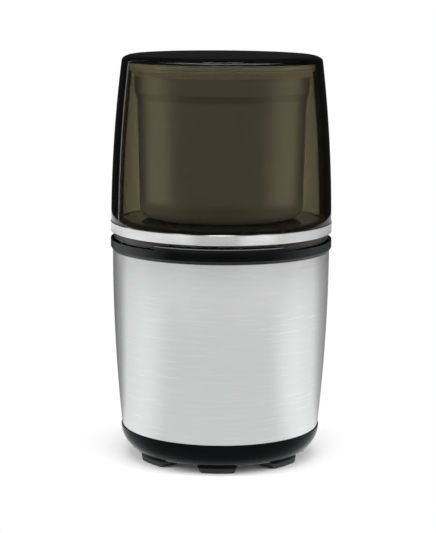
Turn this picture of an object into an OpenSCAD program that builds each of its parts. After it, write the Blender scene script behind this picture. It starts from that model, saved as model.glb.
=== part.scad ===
// Electric spice grinder: a removable bowl with its own blade stands on a motor base
// and is covered by a smoked lid that works the switch when it is pushed down.
// Millimetres, +Z up, -Y is the front, the origin is on the table under the middle.

/* [Base tub and feet] */
// Height of the rubber foot pads
pad_h = 2.4; // [1.5:0.1:4]
// Height of the moulded foot between its pad and the underside of the tub
foot_boss_h = 1.3; // [0.8:0.1:3]
// Number of feet round the tub
foot_n = 7; // [5:2:9]
// Width of a foot where it meets the tub
foot_w = 21.5; // [14:0.5:22]
// Amount by which a foot narrows to each side on its way down
foot_slope = 2; // [0.5:0.25:3]
// Distance from the tub's edge in to the outer faces of the feet
foot_inset = 7.2; // [7:0.05:10]
// Length of a foot towards the middle
foot_len = 10; // [7:0.5:13]
// Height of the tub from its underside to the ledge under the steel shell
tub_h = 11.9; // [11:0.1:16]
// Wall of the tub
tub_wall = 1.8; // [1.5:0.1:2.6]
// Radius of the round edge that turns the tub wall into its floor
tub_round = 13.6; // [12:0.1:15]
// Amount by which the tub stands proud of the foot of the shell
tub_proud = 0.5; // [0.2:0.1:1]
// Height of the spigot that centres the steel shell
spigot_h = 5.4; // [3:0.2:8]
// Number of air slots in the floor
vent_n = 20; // [12:1:24]
// Width of an air slot
vent_w = 2; // [1:0.1:2.4]

/* [Steel shell] */
// Height of the shell
shell_h = 89.5; // [86:0.1:110]
// Amount by which the top of the shell lies inside the collar
shell_inset = 1.05; // [0.8:0.05:1.4]
// Radius of the gentle curve of the shell in side view
shell_curve = 870; // [800:10:1500]
// Sheet thickness of the shell
shell_t = 0.6; // [0.4:0.05:0.7]

/* [Top housing] */
// Outer radius of the collar
collar_r = 55; // [50:0.25:60]
// Height of the collar from its lower edge to the top of its raised front
collar_h = 7.5; // [6.8:0.1:9]
// Height of the chamfer under the collar
collar_chamfer = 1.6; // [1:0.1:2.2]
// Drop of the collar's edge away from its raised front
collar_drop = 2; // [0.5:0.1:2.2]
// Half angle of the raised front of the collar
collar_front = 34; // [20:0.5:60]
// Wall between the lid groove and the outside of the collar
lip_t = 0.8; // [0.6:0.05:1]
// Depth of the lid groove below the raised front
groove_d = 5.3; // [4.6:0.1:5.4]
// Height of the deck above the raised front of the collar
deck_rise = 8.2; // [6:0.1:9]
// Radius of the deck's edge
deck_round = 4; // [1:0.25:5]
// Thickness of the deck
deck_t = 2.5; // [1.8:0.1:3]
// Width of the lid groove between the collar's lip and the deck
groove_w = 3; // [2.9:0.05:3.3]

/* [Bowl lock] */
// Thickness of the roof that holds the lugs down
roof_t = 3; // [2.4:0.1:3.6]
// Distance from the bowl's side in to the neck opening in the roof
neck_inset = 15.9; // [15.5:0.1:17]
// Number of lugs
lug_n = 3; // [2:1:3]
// Length of a lug beyond the neck opening
lug_reach = 2.8; // [2:0.1:3]
// Height of a lug
lug_h = 3.4; // [2.4:0.1:4]
// Angle that a lug takes up
lug_a = 40; // [30:1:44]
// Angle by which the bowl turns from its entry notches to its stop
twist_a = 25; // [20:1:28]
// Clearance round the lugs and the neck
lock_gap = 0.3; // [0.2:0.05:0.5]
// Width of the rubber seat under the bowl
seat_w = 3.5; // [2.5:0.1:4.5]
// Depth of the recess that holds the seat
seat_d = 1.2; // [0.8:0.1:1.6]

/* [Bowl] */
// Gap between the deck and the underside of the bowl
bowl_gap = 1.2; // [0.8:0.1:2]
// Height of the bowl
bowl_h = 70; // [66:0.2:70.4]
// Distance from the deck's edge in to the bowl's rim
rim_inset = 8; // [7.6:0.1:9]
// Height of the wide band under the rim
rim_band = 8.6; // [6:0.2:16]
// Height of the slope under the band
rim_slope = 3.4; // [2:0.1:8]
// Amount by which the slope narrows the bowl
waist_inset = 1.4; // [1:0.1:2.6]
// Amount by which the bowl tapers from there to its round bottom edge
bowl_taper = 1.4; // [0.5:0.1:3]
// Radius of the round bottom edge
bowl_round = 4.5; // [4:0.25:10]
// Sheet thickness of the bowl
bowl_t = 0.8; // [0.5:0.05:1]

/* [Blade and spindle] */
// Radius of the blade spindle
spindle_r = 3; // [2.8:0.1:3.4]
// Wall of the spindle bushes
bush_wall = 2; // [1.4:0.1:2.4]
// Height of the spindle housing above the bowl's floor
hub_h = 9.5; // [8:0.25:13]
// Height of the blade's underside above the spindle housing
blade_rise = 3; // [2.4:0.1:5]
// Gap between the blade's tips and the bowl's side
blade_gap = 5.6; // [3:0.1:9]
// Width of the blade at its middle
blade_w = 13; // [11:0.5:15]
// Thickness of the blade
blade_t = 1.8; // [1.2:0.1:2.4]
// Slope of the blade's cranked necks
blade_crank = 24; // [12:1:28]
// Radius at which the lowered wings begin
blade_crank_r = 19; // [16:0.5:22]

/* [Dog coupling] */
// Number of dogs on each half
dog_n = 3; // [3:1:3]
// Angle that a dog takes up
dog_a = 30; // [24:1:32]
// Inner radius of the dogs
dog_ri = 7.6; // [7.2:0.1:9]
// Outer radius of the dogs
dog_ro = 12.6; // [11:0.1:12.8]
// Height of the dogs
dog_h = 3.7; // [2.8:0.1:4]
// Clearance between a dog and the other half's disc
dog_gap = 0.4; // [0.3:0.05:0.7]
// Thickness of each disc
disc_t = 3.2; // [2.4:0.1:3.6]

/* [Lid] */
// Height from the bowl's rim to the upper edge of the lid's side
lid_room = 9.2; // [8.8:0.1:12]
// Amount by which the lid's side stands in from the trim ring
lid_inset = 0.2; // [0.2:0.05:0.6]
// Gap between the outer rib and the lid's side, under the lid's top
lid_margin = 1.1; // [0.6:0.1:1.6]
// Radius of the lid's upper edge
lid_round = 6; // [3:0.25:7]
// Rise of the crowned top
lid_crown = 1; // [0.2:0.1:1.4]
// Wall of the lid
lid_wall = 2.6; // [2:0.1:2.8]
// Thickness of the lid's top
lid_top_t = 3; // [2.4:0.1:3.4]
// Travel of the lid when it is pushed down
press_travel = 1.5; // [1.2:0.1:2.6]
// Gap left between the trim ring and the collar's raised front when the lid is down
ring_clear = 0.3; // [0.3:0.1:2]
// Height of the trim ring
ring_h = 5.3; // [4:0.1:7]
// Thickness of the trim ring
ring_t = 0.8; // [0.6:0.05:1]
// Wall of the ribs that hold the gasket
rib_t = 1.2; // [0.8:0.1:1.6]
// Height of those ribs
rib_h = 4.2; // [3.4:0.1:4.6]

/* [Motor] */
// Radius of the motor shaft
shaft_r = 4; // [3.5:0.1:4.4]
// Radius of the armature
armature_r = 15.8; // [14.5:0.1:16.4]
// Air gap between armature and stator
air_gap = 0.7; // [0.4:0.05:1]
// Thickness of a field coil
coil_t = 5.5; // [4:0.25:6]
// Thickness of the stator core behind its coils
yoke_t = 3; // [2.5:0.25:4]
// Height by which the coils and windings stand out of the stacks
coil_out = 8; // [6:0.25:9]
// Number of armature slots
slot_n = 12; // [8:1:14]
// Radius of the commutator
commutator_r = 10.5; // [9:0.1:11.5]
// Height of the commutator
commutator_h = 12; // [11:0.25:13]
// Radius of the cooling fan
fan_r = 27; // [22:0.5:30]
// Number of fan blades
fan_n = 12; // [8:1:16]

/* [Switch] */
// Distance from the deck's edge in to the push rod
rod_inset = 4.7; // [4.4:0.1:5.6]
// Radius of the push rod's stem
rod_r = 2.5; // [2:0.1:2.8]
// Angle of the switch lever at rest
lever_a = 8; // [7:0.1:10]

/* [Cord inlet] */
// Radius of the hole for the cord
cord_r = 3.3; // [2.8:0.1:3.5]
// Wall of the gland
gland_wall = 1.2; // [0.8:0.1:1.3]

/* [Hidden] */
$fn = 96;
eps = 0.01;

// Heights, from the table up
z_tub = pad_h + foot_boss_h;
z_floor = z_tub + tub_wall;
z_ledge = z_tub + tub_h;
z_shell = z_ledge + shell_h;
shell_tuck = 0.6;
z_collar = z_shell - shell_tuck;
z_front = z_collar + collar_h;
z_groove = z_front - groove_d;
z_deck = z_front + deck_rise;
z_roof = z_deck - roof_t;
z_lug = z_roof - lock_gap;
z_neck = z_lug - lug_h;
well_gap = 0.8;
z_well = z_neck - well_gap;
well_t = 2.2;
z_cup = z_deck + bowl_gap;
z_cup_floor = z_cup + bowl_t;
z_rim = z_cup + bowl_h;
z_ring = z_front + press_travel + ring_clear;
z_ring_top = z_ring + ring_h;
z_lid_edge = z_rim + lid_room;
z_ceiling = z_lid_edge - lid_top_t;

// Radii, from the collar down the shell and in to the bowl and its lock
shell_r = collar_r - shell_inset;
deck_r = collar_r - lip_t - groove_w;
lid_r = collar_r - lid_inset;
rim_r = deck_r - rim_inset;
waist_r = rim_r - waist_inset;
bowl_low_r = waist_r - bowl_taper;
roof_r = bowl_low_r - neck_inset;
lug_r = roof_r + lug_reach;
blade_r = bowl_low_r - bowl_t - blade_gap;
rod_x = deck_r - rod_inset;

// Gasket on the bowl's rim, the lid's ribs beside it, and the lid's side outside them
fit = 0.2;
gasket_lip = 1.2;
gasket_in = rim_r - bowl_t - gasket_lip;
gasket_out = rim_r + gasket_lip;
rib_inner = gasket_in - fit;
rib_outer = gasket_out + fit;
lid_top_r = rib_outer + rib_t + lid_margin + lid_wall;
lid_curve = pow(z_ceiling - z_ring, 2) / (2 * (lid_r - lid_top_r));

// Radii of the shell and the lid at a height, and of the tub that follows the shell
function shell_at(z) = shell_r - pow(z_shell - z, 2) / (2 * shell_curve);
function lid_at(z) = lid_r - pow(z - z_ring, 2) / (2 * lid_curve);
tub_r = shell_at(z_ledge) + tub_proud;
foot_r = tub_r - foot_inset;
screw_fit = 0.05;
web_t = 2.2;
collar_inner = shell_r - shell_t - 0.1;
skirt_step = 0.4;

// Points of an arc about [cx, cy]
function arc(cx, cy, r, a0, a1, n = 8) =
    [for (i = [0:n]) let (a = a0 + (a1 - a0) * i / n) [cx + r * cos(a), cy + r * sin(a)]];

module ring(ri, ro, z0, z1) {
    translate([0, 0, z0])
        difference() {
            cylinder(r = ro, h = z1 - z0);
            translate([0, 0, -eps]) cylinder(r = ri, h = z1 - z0 + 2 * eps);
        }
}

module post(r, z0, z1) {
    translate([0, 0, z0]) cylinder(r = r, h = z1 - z0);
}

module polar(a, r) {
    rotate([0, 0, a]) translate([r, 0, 0]) children();
}

// A ring sector between two radii, centred on an angle
module ring_part(ri, ro, a, width, z0, z1) {
    rotate([0, 0, a - width / 2]) translate([0, 0, z0])
        rotate_extrude(angle = width) translate([ri, 0]) square([ro - ri, z1 - z0]);
}

module block(x0, x1, y0, y1, z0, z1) {
    translate([x0, y0, z0]) cube([x1 - x0, y1 - y0, z1 - z0]);
}

// ---- Base tub ----
foot_a = 360 / foot_n;
foot_round = 1.5;
pad_peg_r = 2.5;
pad_peg_h = 2;
body_screw_r = tub_r - 10.9;
boss_r = 3.2;
body_shank = 1.3;
body_head_r = 2.5;
body_head_h = 2.2;
z_split = z_ledge + 0.62 * shell_h;
z_head = z_tub + 6;
z_body_tip = z_split + 18;
z_gland = z_floor + gland_wall + cord_r + 0.9;
gland_r = cord_r + gland_wall;
lower_mount_r = 15;
cup_wall = 2.2;
z_bearing_seat = z_floor + 6;
vent_in = lower_mount_r + cup_wall + 1.8;
vent_out = foot_r - foot_len - 3;

function body_screw_angles() = [90 - foot_a, 90 + foot_a, -90 + foot_a / 2, -90 - foot_a / 2];

// Front view of a foot, from its sole up
module foot_outline() {
    top = z_floor - eps;
    low = foot_w / 2 - foot_slope;
    high = foot_w / 2;
    polygon(concat([[high, top], [-high, top]],
        arc(-low + foot_round, foot_round, foot_round, 180, 270, 4),
        arc(low - foot_round, foot_round, foot_round, 270, 360, 4)));
}

// A foot before it is cut at the pad's height; x is the way out from the middle
module foot_body() {
    intersection() {
        translate([foot_r - foot_len, 0, 0]) rotate([90, 0, 90])
            linear_extrude(foot_len + 2) foot_outline();
        cylinder(r = foot_r, h = z_floor);
    }
}

module at_feet() {
    for (i = [0:foot_n - 1]) rotate([0, 0, -90 + i * foot_a]) children();
}

module tub_section() {
    inner = tub_round - tub_wall;
    cx = tub_r - tub_round;
    a_out = asin(min(0.96, (tub_h - 0.2) / tub_round));
    a_in = asin(min(0.96, (tub_h - tub_wall) / inner));
    polygon(concat(
        [[0, z_tub], [cx + tub_round * cos(a_out) - 2, z_tub]],
        arc(cx, z_ledge, tub_round, -a_out, 0, 10),
        [[tub_r - 0.15, z_ledge + 0.1], [shell_at(z_ledge) - shell_t - fit, z_ledge],
         [shell_at(z_ledge) - shell_t - fit, z_ledge + spigot_h],
         [tub_r - 3.6, z_ledge + spigot_h], [tub_r - 3.6, z_ledge]],
        arc(cx, z_ledge, inner, -8, -a_in, 8),
        [[0, z_floor]]));
}

module base_tub() color([0.09, 0.1, 0.105]) {
    difference() {
        union() {
            rotate_extrude() tub_section();
            at_feet() foot_body();
            for (a = body_screw_angles())
                polar(a, body_screw_r) post(boss_r, z_tub + 0.5, z_split);
            ring(lower_mount_r + fit, lower_mount_r + cup_wall, z_floor - eps, z_bearing_seat);
        }
        translate([0, 0, -eps]) cylinder(r = foot_r + 1, h = pad_h + eps);
        at_feet() translate([foot_r - foot_len / 2, 0, pad_h - eps])
            cylinder(r = pad_peg_r + screw_fit, h = pad_peg_h + 0.1);
        for (a = body_screw_angles()) polar(a, body_screw_r) {
            post(body_shank + fit, z_tub - 1, z_split + 1);
            post(body_head_r + fit, z_tub - 1, z_head);
        }
        for (i = [0:vent_n - 1]) rotate([0, 0, (i + 0.5) * 360 / vent_n])
            block(vent_in, vent_out, -vent_w / 2, vent_w / 2, z_tub - 1, z_floor + 1);
        gland_bar(tub_r - 8, tub_r + 4, gland_r + screw_fit);
    }
    clamp_posts();
}

module foot_pads() color([0.3, 0.3, 0.31]) {
    at_feet() {
        intersection() {
            foot_body();
            cylinder(r = foot_r + 1, h = pad_h);
        }
        translate([foot_r - foot_len / 2, 0, pad_h - eps]) cylinder(r = pad_peg_r, h = pad_peg_h);
    }
}

module steel_shell() color([0.77, 0.77, 0.775]) {
    n = 24;
    outer = [for (i = [0:n]) let (z = z_ledge + 0.1 + (shell_h - 0.1) * i / n) [shell_at(z), z]];
    inner = [for (i = [n:-1:0]) [outer[i][0] - shell_t, outer[i][1]]];
    rotate_extrude() polygon(concat(outer, inner));
}

module body_screws() color("silver") {
    for (a = body_screw_angles()) polar(a, body_screw_r) difference() {
        union() {
            post(body_head_r, z_head - body_head_h, z_head);
            post(body_shank, z_head - eps, z_body_tip);
        }
        translate([0, 0, z_head - body_head_h - eps]) cross_recess(3, 1.2);
    }
}

module cross_recess(w, h) {
    translate([-w / 2, -0.4, 0]) cube([w, 0.8, h]);
    translate([-0.4, -w / 2, 0]) cube([0.8, w, h]);
}

// ---- Cord inlet ----
gland_flange = 0.6;
gland_len = 10.2;
clamp_y = tub_r - 16;
clamp_half = cord_r + 5.7;
clamp_post_r = 3;
clamp_bar_t = 2.4;
clamp_shank = 1.25;
clamp_head_r = 2.4;
clamp_head_h = 1.6;
clamp_tooth = 0.8;
z_clamp = z_gland + cord_r - 0.4;

// A square bar with round corners along the cord, which keeps the gland from turning
module gland_bar(y0, y1, half) {
    translate([0, y0, z_gland]) rotate([-90, 0, 0])
        linear_extrude(y1 - y0) rounded(2 * half, 2 * half, 1.4);
}

module cord_gland() color([0.08, 0.08, 0.08]) {
    y1 = tub_r + 0.6;
    y0 = y1 - gland_len;
    difference() {
        union() {
            gland_bar(y0, y1, gland_r);
            gland_bar(y0, y0 + 2, gland_r + gland_flange);
        }
        translate([0, y0 - 1, z_gland]) rotate([-90, 0, 0])
            cylinder(r = cord_r, h = gland_len + 2);
    }
}

module clamp_posts() {
    for (s = [-1, 1]) translate([s * clamp_half, clamp_y, 0]) difference() {
        post(clamp_post_r, z_floor - eps, z_clamp);
        post(clamp_shank + screw_fit, z_floor + 1, z_clamp + 1);
    }
}

module cord_clamp() color([0.15, 0.15, 0.15]) {
    difference() {
        union() {
            block(-clamp_half, clamp_half, clamp_y - clamp_post_r, clamp_y + clamp_post_r,
                z_clamp, z_clamp + clamp_bar_t);
            for (s = [-1, 1]) translate([s * clamp_half, clamp_y, 0])
                post(clamp_post_r, z_clamp, z_clamp + clamp_bar_t);
            for (s = [-1, 1]) block(-3, 3, clamp_y + s * 2 - 0.5, clamp_y + s * 2 + 0.5,
                z_clamp - clamp_tooth, z_clamp + eps);
        }
        for (s = [-1, 1]) translate([s * clamp_half, clamp_y, 0])
            post(clamp_shank + screw_fit, z_clamp - 2, z_clamp + clamp_bar_t + 1);
    }
}

module clamp_screws() color("silver") {
    top = z_clamp + clamp_bar_t;
    for (s = [-1, 1]) translate([s * clamp_half, clamp_y, 0]) difference() {
        union() {
            post(clamp_head_r, top, top + clamp_head_h);
            post(clamp_shank, z_floor + 1.5, top + eps);
        }
        translate([0, 0, top + clamp_head_h / 2]) cross_recess(3, clamp_head_h);
    }
}

// ---- Parts on the tub's floor ----
terminal_in = 18;
terminal_y = 4;
terminal_w = 26;
terminal_half = 4.5;
terminal_h = 7;
crest_half = 2.5;
crest_h = 3;
terminal_pitch = 8;
terminal_screw_r = 1.7;
wire_r = 1.5;
wire_z = 3;

module terminal_block() color([0.85, 0.83, 0.75]) {
    top = z_floor + terminal_h + crest_h;
    translate([terminal_in - tub_r, terminal_y, 0]) difference() {
        union() {
            block(-terminal_half, terminal_half, -terminal_w / 2, terminal_w / 2,
                z_floor, z_floor + terminal_h);
            block(-crest_half, crest_half, -terminal_w / 2, terminal_w / 2,
                z_floor + terminal_h - eps, top);
        }
        for (i = [-1:1]) translate([0, i * terminal_pitch, 0]) {
            post(terminal_screw_r, z_floor + wire_z + 1, top + 1);
            translate([-terminal_half - 1, 0, z_floor + wire_z]) rotate([0, 90, 0])
                cylinder(r = wire_r, h = 2 * terminal_half + 2);
        }
    }
}

capacitor_in = 19;
capacitor_y = 6;
capacitor_w = 17;
capacitor_t = 9;
capacitor_h = 11;
capacitor_round = 1.5;
lead_r = 0.5;
lead_h = 4;
lead_y = 5;

module capacitor() color([0.75, 0.6, 0.15]) {
    translate([tub_r - capacitor_in, capacitor_y, z_floor]) {
        linear_extrude(capacitor_h) rounded(capacitor_t, capacitor_w, capacitor_round);
        for (s = [-1, 1]) translate([0, s * lead_y, capacitor_h - eps])
            cylinder(r = lead_r, h = lead_h);
    }
}

// A rectangle with round corners about the origin
module rounded(w, h, r) {
    polygon(concat(
        arc(w / 2 - r, h / 2 - r, r, 0, 90, 4), arc(r - w / 2, h / 2 - r, r, 90, 180, 4),
        arc(r - w / 2, r - h / 2, r, 180, 270, 4), arc(w / 2 - r, r - h / 2, r, 270, 360, 4)));
}

// ---- Top housing: collar, lid groove, deck and the well that locks the bowl ----
seat_ri = lug_r + lock_gap + 1.9;
seat_ro = seat_ri + seat_w;
well_r = lug_r + 0.9;
well_wall = 2;
well_hole = dog_ro + 1.9;
deck_wall = 2.4;
mount_r = collar_inner - 15.25;
mount_angles = [90, 210, 330];
mount_post_r = 5;
mount_shank = 1.5;
slot_in = deck_r + 0.2;
slot_out = collar_inner - 0.45;
rod_half = 3;
rod_fit = 0.3;
carrier_post_r = 2.6;
carrier_shank = 1.1;
carrier_grip = 5;
carrier_x = [rod_x - 10, rod_x - 3];
carrier_y = 10;
z_flange = z_groove - 1.6;

module housing_section() {
    zu = z_deck - deck_t;
    zw = z_groove - web_t;
    polygon(concat(
        [[shell_at(z_collar) + 0.1, z_collar], [collar_r, z_collar + collar_chamfer]],
        arc(collar_r - 0.5, z_front - 0.5, 0.5, 0, 90, 4),
        [[collar_r - lip_t + 0.15, z_front], [collar_r - lip_t, z_front - 0.2],
         [collar_r - lip_t, z_groove], [deck_r, z_groove]],
        arc(deck_r - deck_round, z_deck - deck_round, deck_round, 0, 90, 6),
        [[seat_ro + fit, z_deck], [seat_ro + fit, z_deck - seat_d],
         [seat_ri - fit, z_deck - seat_d], [seat_ri - fit, z_deck],
         [roof_r, z_deck], [roof_r, z_roof], [well_r, z_roof], [well_r, z_well],
         [well_hole, z_well], [well_hole, z_well - well_t],
         [well_r + well_wall, z_well - well_t], [well_r + well_wall, zu],
         [deck_r - deck_wall, zu], [deck_r - deck_wall, zw], [collar_inner, zw],
         [collar_inner, z_shell + fit], [shell_at(z_collar) + 0.1, z_shell + fit]]));
}

module top_housing() color([0.06, 0.065, 0.07]) {
    stop_a = lug_a / 2 + twist_a;
    difference() {
        union() {
            rotate_extrude() housing_section();
            for (a = body_screw_angles())
                polar(a, body_screw_r) post(boss_r, z_split, z_deck - deck_t + eps);
            for (a = mount_angles)
                polar(a, mount_r) post(mount_post_r, z_mount_top, z_deck - deck_t + eps);
            for (x = carrier_x) translate([x, carrier_y, 0])
                post(carrier_post_r, z_flange, z_deck - deck_t + eps);
            for (i = [0:lug_n - 1])
                ring_part(roof_r + 0.5, well_r + 0.5, i * 360 / lug_n - stop_a - 2.5, 3,
                    z_well - eps, z_roof + eps);
        }
        rotate([0, 0, -90 + collar_front]) translate([0, 0, z_front - collar_drop])
            rotate_extrude(angle = 360 - 2 * collar_front)
                translate([collar_r - lip_t - 0.05, 0]) square([2, 3]);
        for (i = [0:lug_n - 1])
            ring_part(roof_r - 1, lug_r + 0.5, i * 360 / lug_n, lug_a + 4,
                z_roof - 1, z_deck + 1);
        for (a = body_screw_angles()) polar(a, body_screw_r)
            post(body_shank + screw_fit, z_split - 1, z_body_tip + 1);
        for (a = mount_angles) polar(a, mount_r)
            post(mount_shank + screw_fit, z_mount_top - 1, z_mount_tip + 1);
        for (x = carrier_x) translate([x, carrier_y, 0])
            post(carrier_shank + screw_fit, z_flange - 1, z_flange + carrier_grip + 1);
        block(slot_in, slot_out, -rod_half - rod_fit, rod_half + rod_fit,
            z_groove - web_t - 1, z_groove + 1);
    }
}

// ---- Dog coupling levels ----
base_t = 3.1;
z_base_ceiling = z_cup - base_t;
z_driven_top = z_base_ceiling - 0.6;
z_driven = z_driven_top - disc_t;
z_drive = z_driven - dog_h - dog_gap;
disc_r = dog_ro + 0.8;
coupling_hub_r = 7;
z_hub_low = z_drive - disc_t - 2.6;

// ---- Bowl seat and bowl ----
seat_gap = 0.05;

module bowl_seat_ring() color([0.1, 0.1, 0.1]) {
    top = z_cup - seat_gap;
    low = z_deck - seat_d + seat_gap;
    rotate_extrude() polygon([[seat_ri, low], [seat_ro, low], [seat_ro, top - 0.5],
        [seat_ro - 0.4, top], [seat_ri + 0.4, top], [seat_ri, top - 0.5]]);
}

housing_r = 13;
housing_tube = 7.9;
housing_top_r = 7.2;
housing_flange_t = 2;
hub_fit = 0.15;
bowl_screw_n = 3;
bowl_screw_r = 10.4;
bowl_shank = 1.4;
bowl_head_r = 2.5;
bowl_head_h = 1.3;
z_bowl_tip = z_cup_floor + 2.6;
z_hub = z_cup_floor + hub_h;

function bowl_outer() = concat(
    [[0, z_cup]],
    arc(bowl_low_r - bowl_round, z_cup + bowl_round, bowl_round, -90, 0, 10),
    [[waist_r, z_rim - rim_band - rim_slope], [rim_r, z_rim - rim_band], [rim_r, z_rim]]);

function bowl_inner() = concat(
    [[rim_r - bowl_t, z_rim], [rim_r - bowl_t, z_rim - rim_band - 0.15],
     [waist_r - bowl_t, z_rim - rim_band - rim_slope - 0.15]],
    arc(bowl_low_r - bowl_round, z_cup + bowl_round, bowl_round - bowl_t, 0, -90, 10),
    [[0, z_cup_floor]]);

module bowl_screw_holes(r) {
    for (i = [0:bowl_screw_n - 1]) polar(30 + i * 360 / bowl_screw_n, bowl_screw_r)
        post(r, z_cup - 4, z_bowl_tip + 0.1);
}

module bowl_cup() color([0.72, 0.71, 0.69]) {
    difference() {
        rotate_extrude() polygon(concat(bowl_outer(), bowl_inner()));
        post(housing_tube + hub_fit, z_cup - 1, z_cup + 2);
        bowl_screw_holes(bowl_shank + 0.2);
    }
}

module bowl_base() color([0.08, 0.08, 0.085]) {
    neck = roof_r - lock_gap;
    cavity = disc_r + 1.6;
    difference() {
        union() {
            rotate_extrude() polygon([[housing_tube + hub_fit, z_cup],
                [seat_ri - 0.9, z_cup], [seat_ri - 0.9, z_deck + lock_gap],
                [neck, z_deck + lock_gap], [neck, z_neck], [cavity, z_neck],
                [cavity, z_base_ceiling], [housing_tube + hub_fit, z_base_ceiling]]);
            for (i = [0:lug_n - 1])
                ring_part(neck - 1, lug_r, i * 360 / lug_n, lug_a, z_neck, z_lug);
        }
        for (i = [0:5]) rotate([0, 0, 30 + i * 60])
            ring_part(cavity + 1.5, neck - 1.5, 0, 44, z_neck - 1, z_base_ceiling);
        bowl_screw_holes(bowl_shank + 0.2);
        for (i = [0:bowl_screw_n - 1]) polar(30 + i * 360 / bowl_screw_n, bowl_screw_r)
            post(bowl_head_r + 0.15, z_base_ceiling - 1, z_base_ceiling + bowl_head_h);
    }
}

module bowl_screws() color("silver") {
    for (i = [0:bowl_screw_n - 1]) polar(30 + i * 360 / bowl_screw_n, bowl_screw_r)
        difference() {
            union() {
                post(bowl_head_r, z_base_ceiling, z_base_ceiling + bowl_head_h);
                post(bowl_shank, z_base_ceiling + 1, z_bowl_tip);
            }
            translate([0, 0, z_base_ceiling - eps]) cross_recess(2.6, 0.8);
        }
}

module spindle_housing() color([0.12, 0.12, 0.12]) {
    bore = spindle_r + bush_wall;
    difference() {
        rotate_extrude() polygon([[bore, z_base_ceiling], [housing_tube, z_base_ceiling],
            [housing_tube, z_cup_floor], [housing_r, z_cup_floor],
            [housing_r, z_cup_floor + housing_flange_t - 0.5],
            [housing_r - 0.5, z_cup_floor + housing_flange_t], [housing_top_r + 1.5, z_hub - 1.5],
            [housing_top_r, z_hub], [bore, z_hub]]);
        bowl_screw_holes(bowl_shank + screw_fit);
    }
}

bush_fit = 0.03;
bush_len = 5;
seal_h = 1.6;

module spindle_bushes() color([0.72, 0.55, 0.25]) {
    ring(spindle_r + bush_fit, spindle_r + bush_wall, z_hub - bush_len, z_hub);
    ring(spindle_r + bush_fit, spindle_r + bush_wall, z_base_ceiling,
        z_base_ceiling + bush_len);
}

module spindle_seal() color([0.5, 0.18, 0.12]) {
    rotate_extrude() polygon([[spindle_r + 0.05, z_hub], [housing_top_r - 1.2, z_hub],
        [housing_top_r - 1.2, z_hub + seal_h * 0.6], [spindle_r + 0.9, z_hub + seal_h],
        [spindle_r + 0.05, z_hub + seal_h]]);
}

// ---- Blade and spindle ----
z_blade = z_hub + blade_rise;
thread_r = spindle_r - 0.6;
shoulder_r = spindle_r + 1.6;
washer_h = 0.8;
nut_h = 4;
nut_across = 2 * thread_r + 3.6;
hub_flat = 8;

module blade_spindle() color([0.7, 0.7, 0.72]) {
    post(spindle_r, z_driven, z_blade - 1);
    post(shoulder_r, z_blade - 1, z_blade);
    post(thread_r, z_blade - eps, z_blade + blade_t + washer_h + nut_h - 0.6);
}

// Side view of the cranked strip
module blade_side() {
    drop = (blade_crank_r - hub_flat) * tan(blade_crank);
    right_low = [[hub_flat, 0], [blade_crank_r, -drop], [blade_r + 1, -drop]];
    polygon(concat(right_low,
        [for (i = [2:-1:0]) right_low[i] + [0, blade_t]],
        [for (i = [0:2]) [-right_low[i][0], right_low[i][1] + blade_t]],
        [for (i = [2:-1:0]) [-right_low[i][0], right_low[i][1]]]));
}

// Plan of the blade; each wing leads with its straight edge
module blade_plan() {
    intersection() {
        union() {
            circle(r = blade_w / 2);
            for (a = [0, 180]) rotate(a) polygon([[0, -blade_w / 2], [hub_flat, -blade_w / 2],
                [blade_crank_r, -blade_w * 0.42], [blade_r + 1, -blade_w * 0.42],
                [blade_r + 1, blade_w * 0.1], [blade_crank_r + 4, blade_w * 0.38],
                [hub_flat, blade_w / 2], [0, blade_w / 2]]);
        }
        circle(r = blade_r);
    }
}

module blade() color([0.78, 0.78, 0.79]) {
    drop = (blade_crank_r - hub_flat) * tan(blade_crank);
    translate([0, 0, z_blade]) difference() {
        intersection() {
            translate([0, blade_w, 0]) rotate([90, 0, 0]) linear_extrude(2 * blade_w) blade_side();
            translate([0, 0, -drop - 1]) linear_extrude(drop + blade_t + 2) blade_plan();
        }
        translate([0, 0, -1]) cylinder(r = thread_r + screw_fit, h = blade_t + 2);
        for (a = [0, 180]) rotate([0, 0, a])
            translate([blade_crank_r, -blade_w * 0.42, -drop + 0.35])
                rotate([32, 0, 0]) translate([0, -3, 0]) cube([blade_r, 6, 4]);
    }
}

module blade_washer() color([0.7, 0.7, 0.72]) {
    ring(thread_r + screw_fit, shoulder_r + 1, z_blade + blade_t, z_blade + blade_t + washer_h);
}

module blade_nut() color([0.75, 0.75, 0.77]) {
    z = z_blade + blade_t + washer_h;
    difference() {
        intersection() {
            translate([0, 0, z]) cylinder(r = nut_across / sqrt(3), h = nut_h, $fn = 6);
            translate([0, 0, z + nut_h - 8]) cylinder(r1 = 12.6, r2 = nut_across / 2 - 0.2, h = 8);
        }
        post(thread_r + screw_fit, z - 1, z + nut_h - 0.5);
    }
}

// One half of the dog coupling's dogs, set half a pitch apart by the caller
module dogs(z0, z1) {
    for (i = [0:dog_n - 1]) ring_part(dog_ri, dog_ro, i * 360 / dog_n, dog_a, z0, z1);
}

module driven_coupling() color([0.1, 0.1, 0.1]) {
    difference() {
        union() {
            post(disc_r, z_driven, z_driven_top);
            rotate([0, 0, 180 / dog_n]) dogs(z_driven - dog_h, z_driven + eps);
        }
        post(spindle_r, z_driven - 1, z_driven_top + 1);
    }
}

module spindle_clip() color([0.35, 0.35, 0.37]) {
    difference() {
        ring(spindle_r, spindle_r + 1.8, z_driven_top, z_base_ceiling - 0.1);
        block(0, 6, -1, 1, z_driven_top - 1, z_base_ceiling + 1);
    }
}

module drive_coupling() color([0.12, 0.12, 0.13]) {
    difference() {
        union() {
            post(disc_r, z_drive - disc_t, z_drive);
            dogs(z_drive - eps, z_drive + dog_h);
            post(coupling_hub_r, z_hub_low, z_drive - disc_t + eps);
        }
        post(shaft_r, z_hub_low - 1, z_drive + 1);
    }
}

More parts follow.
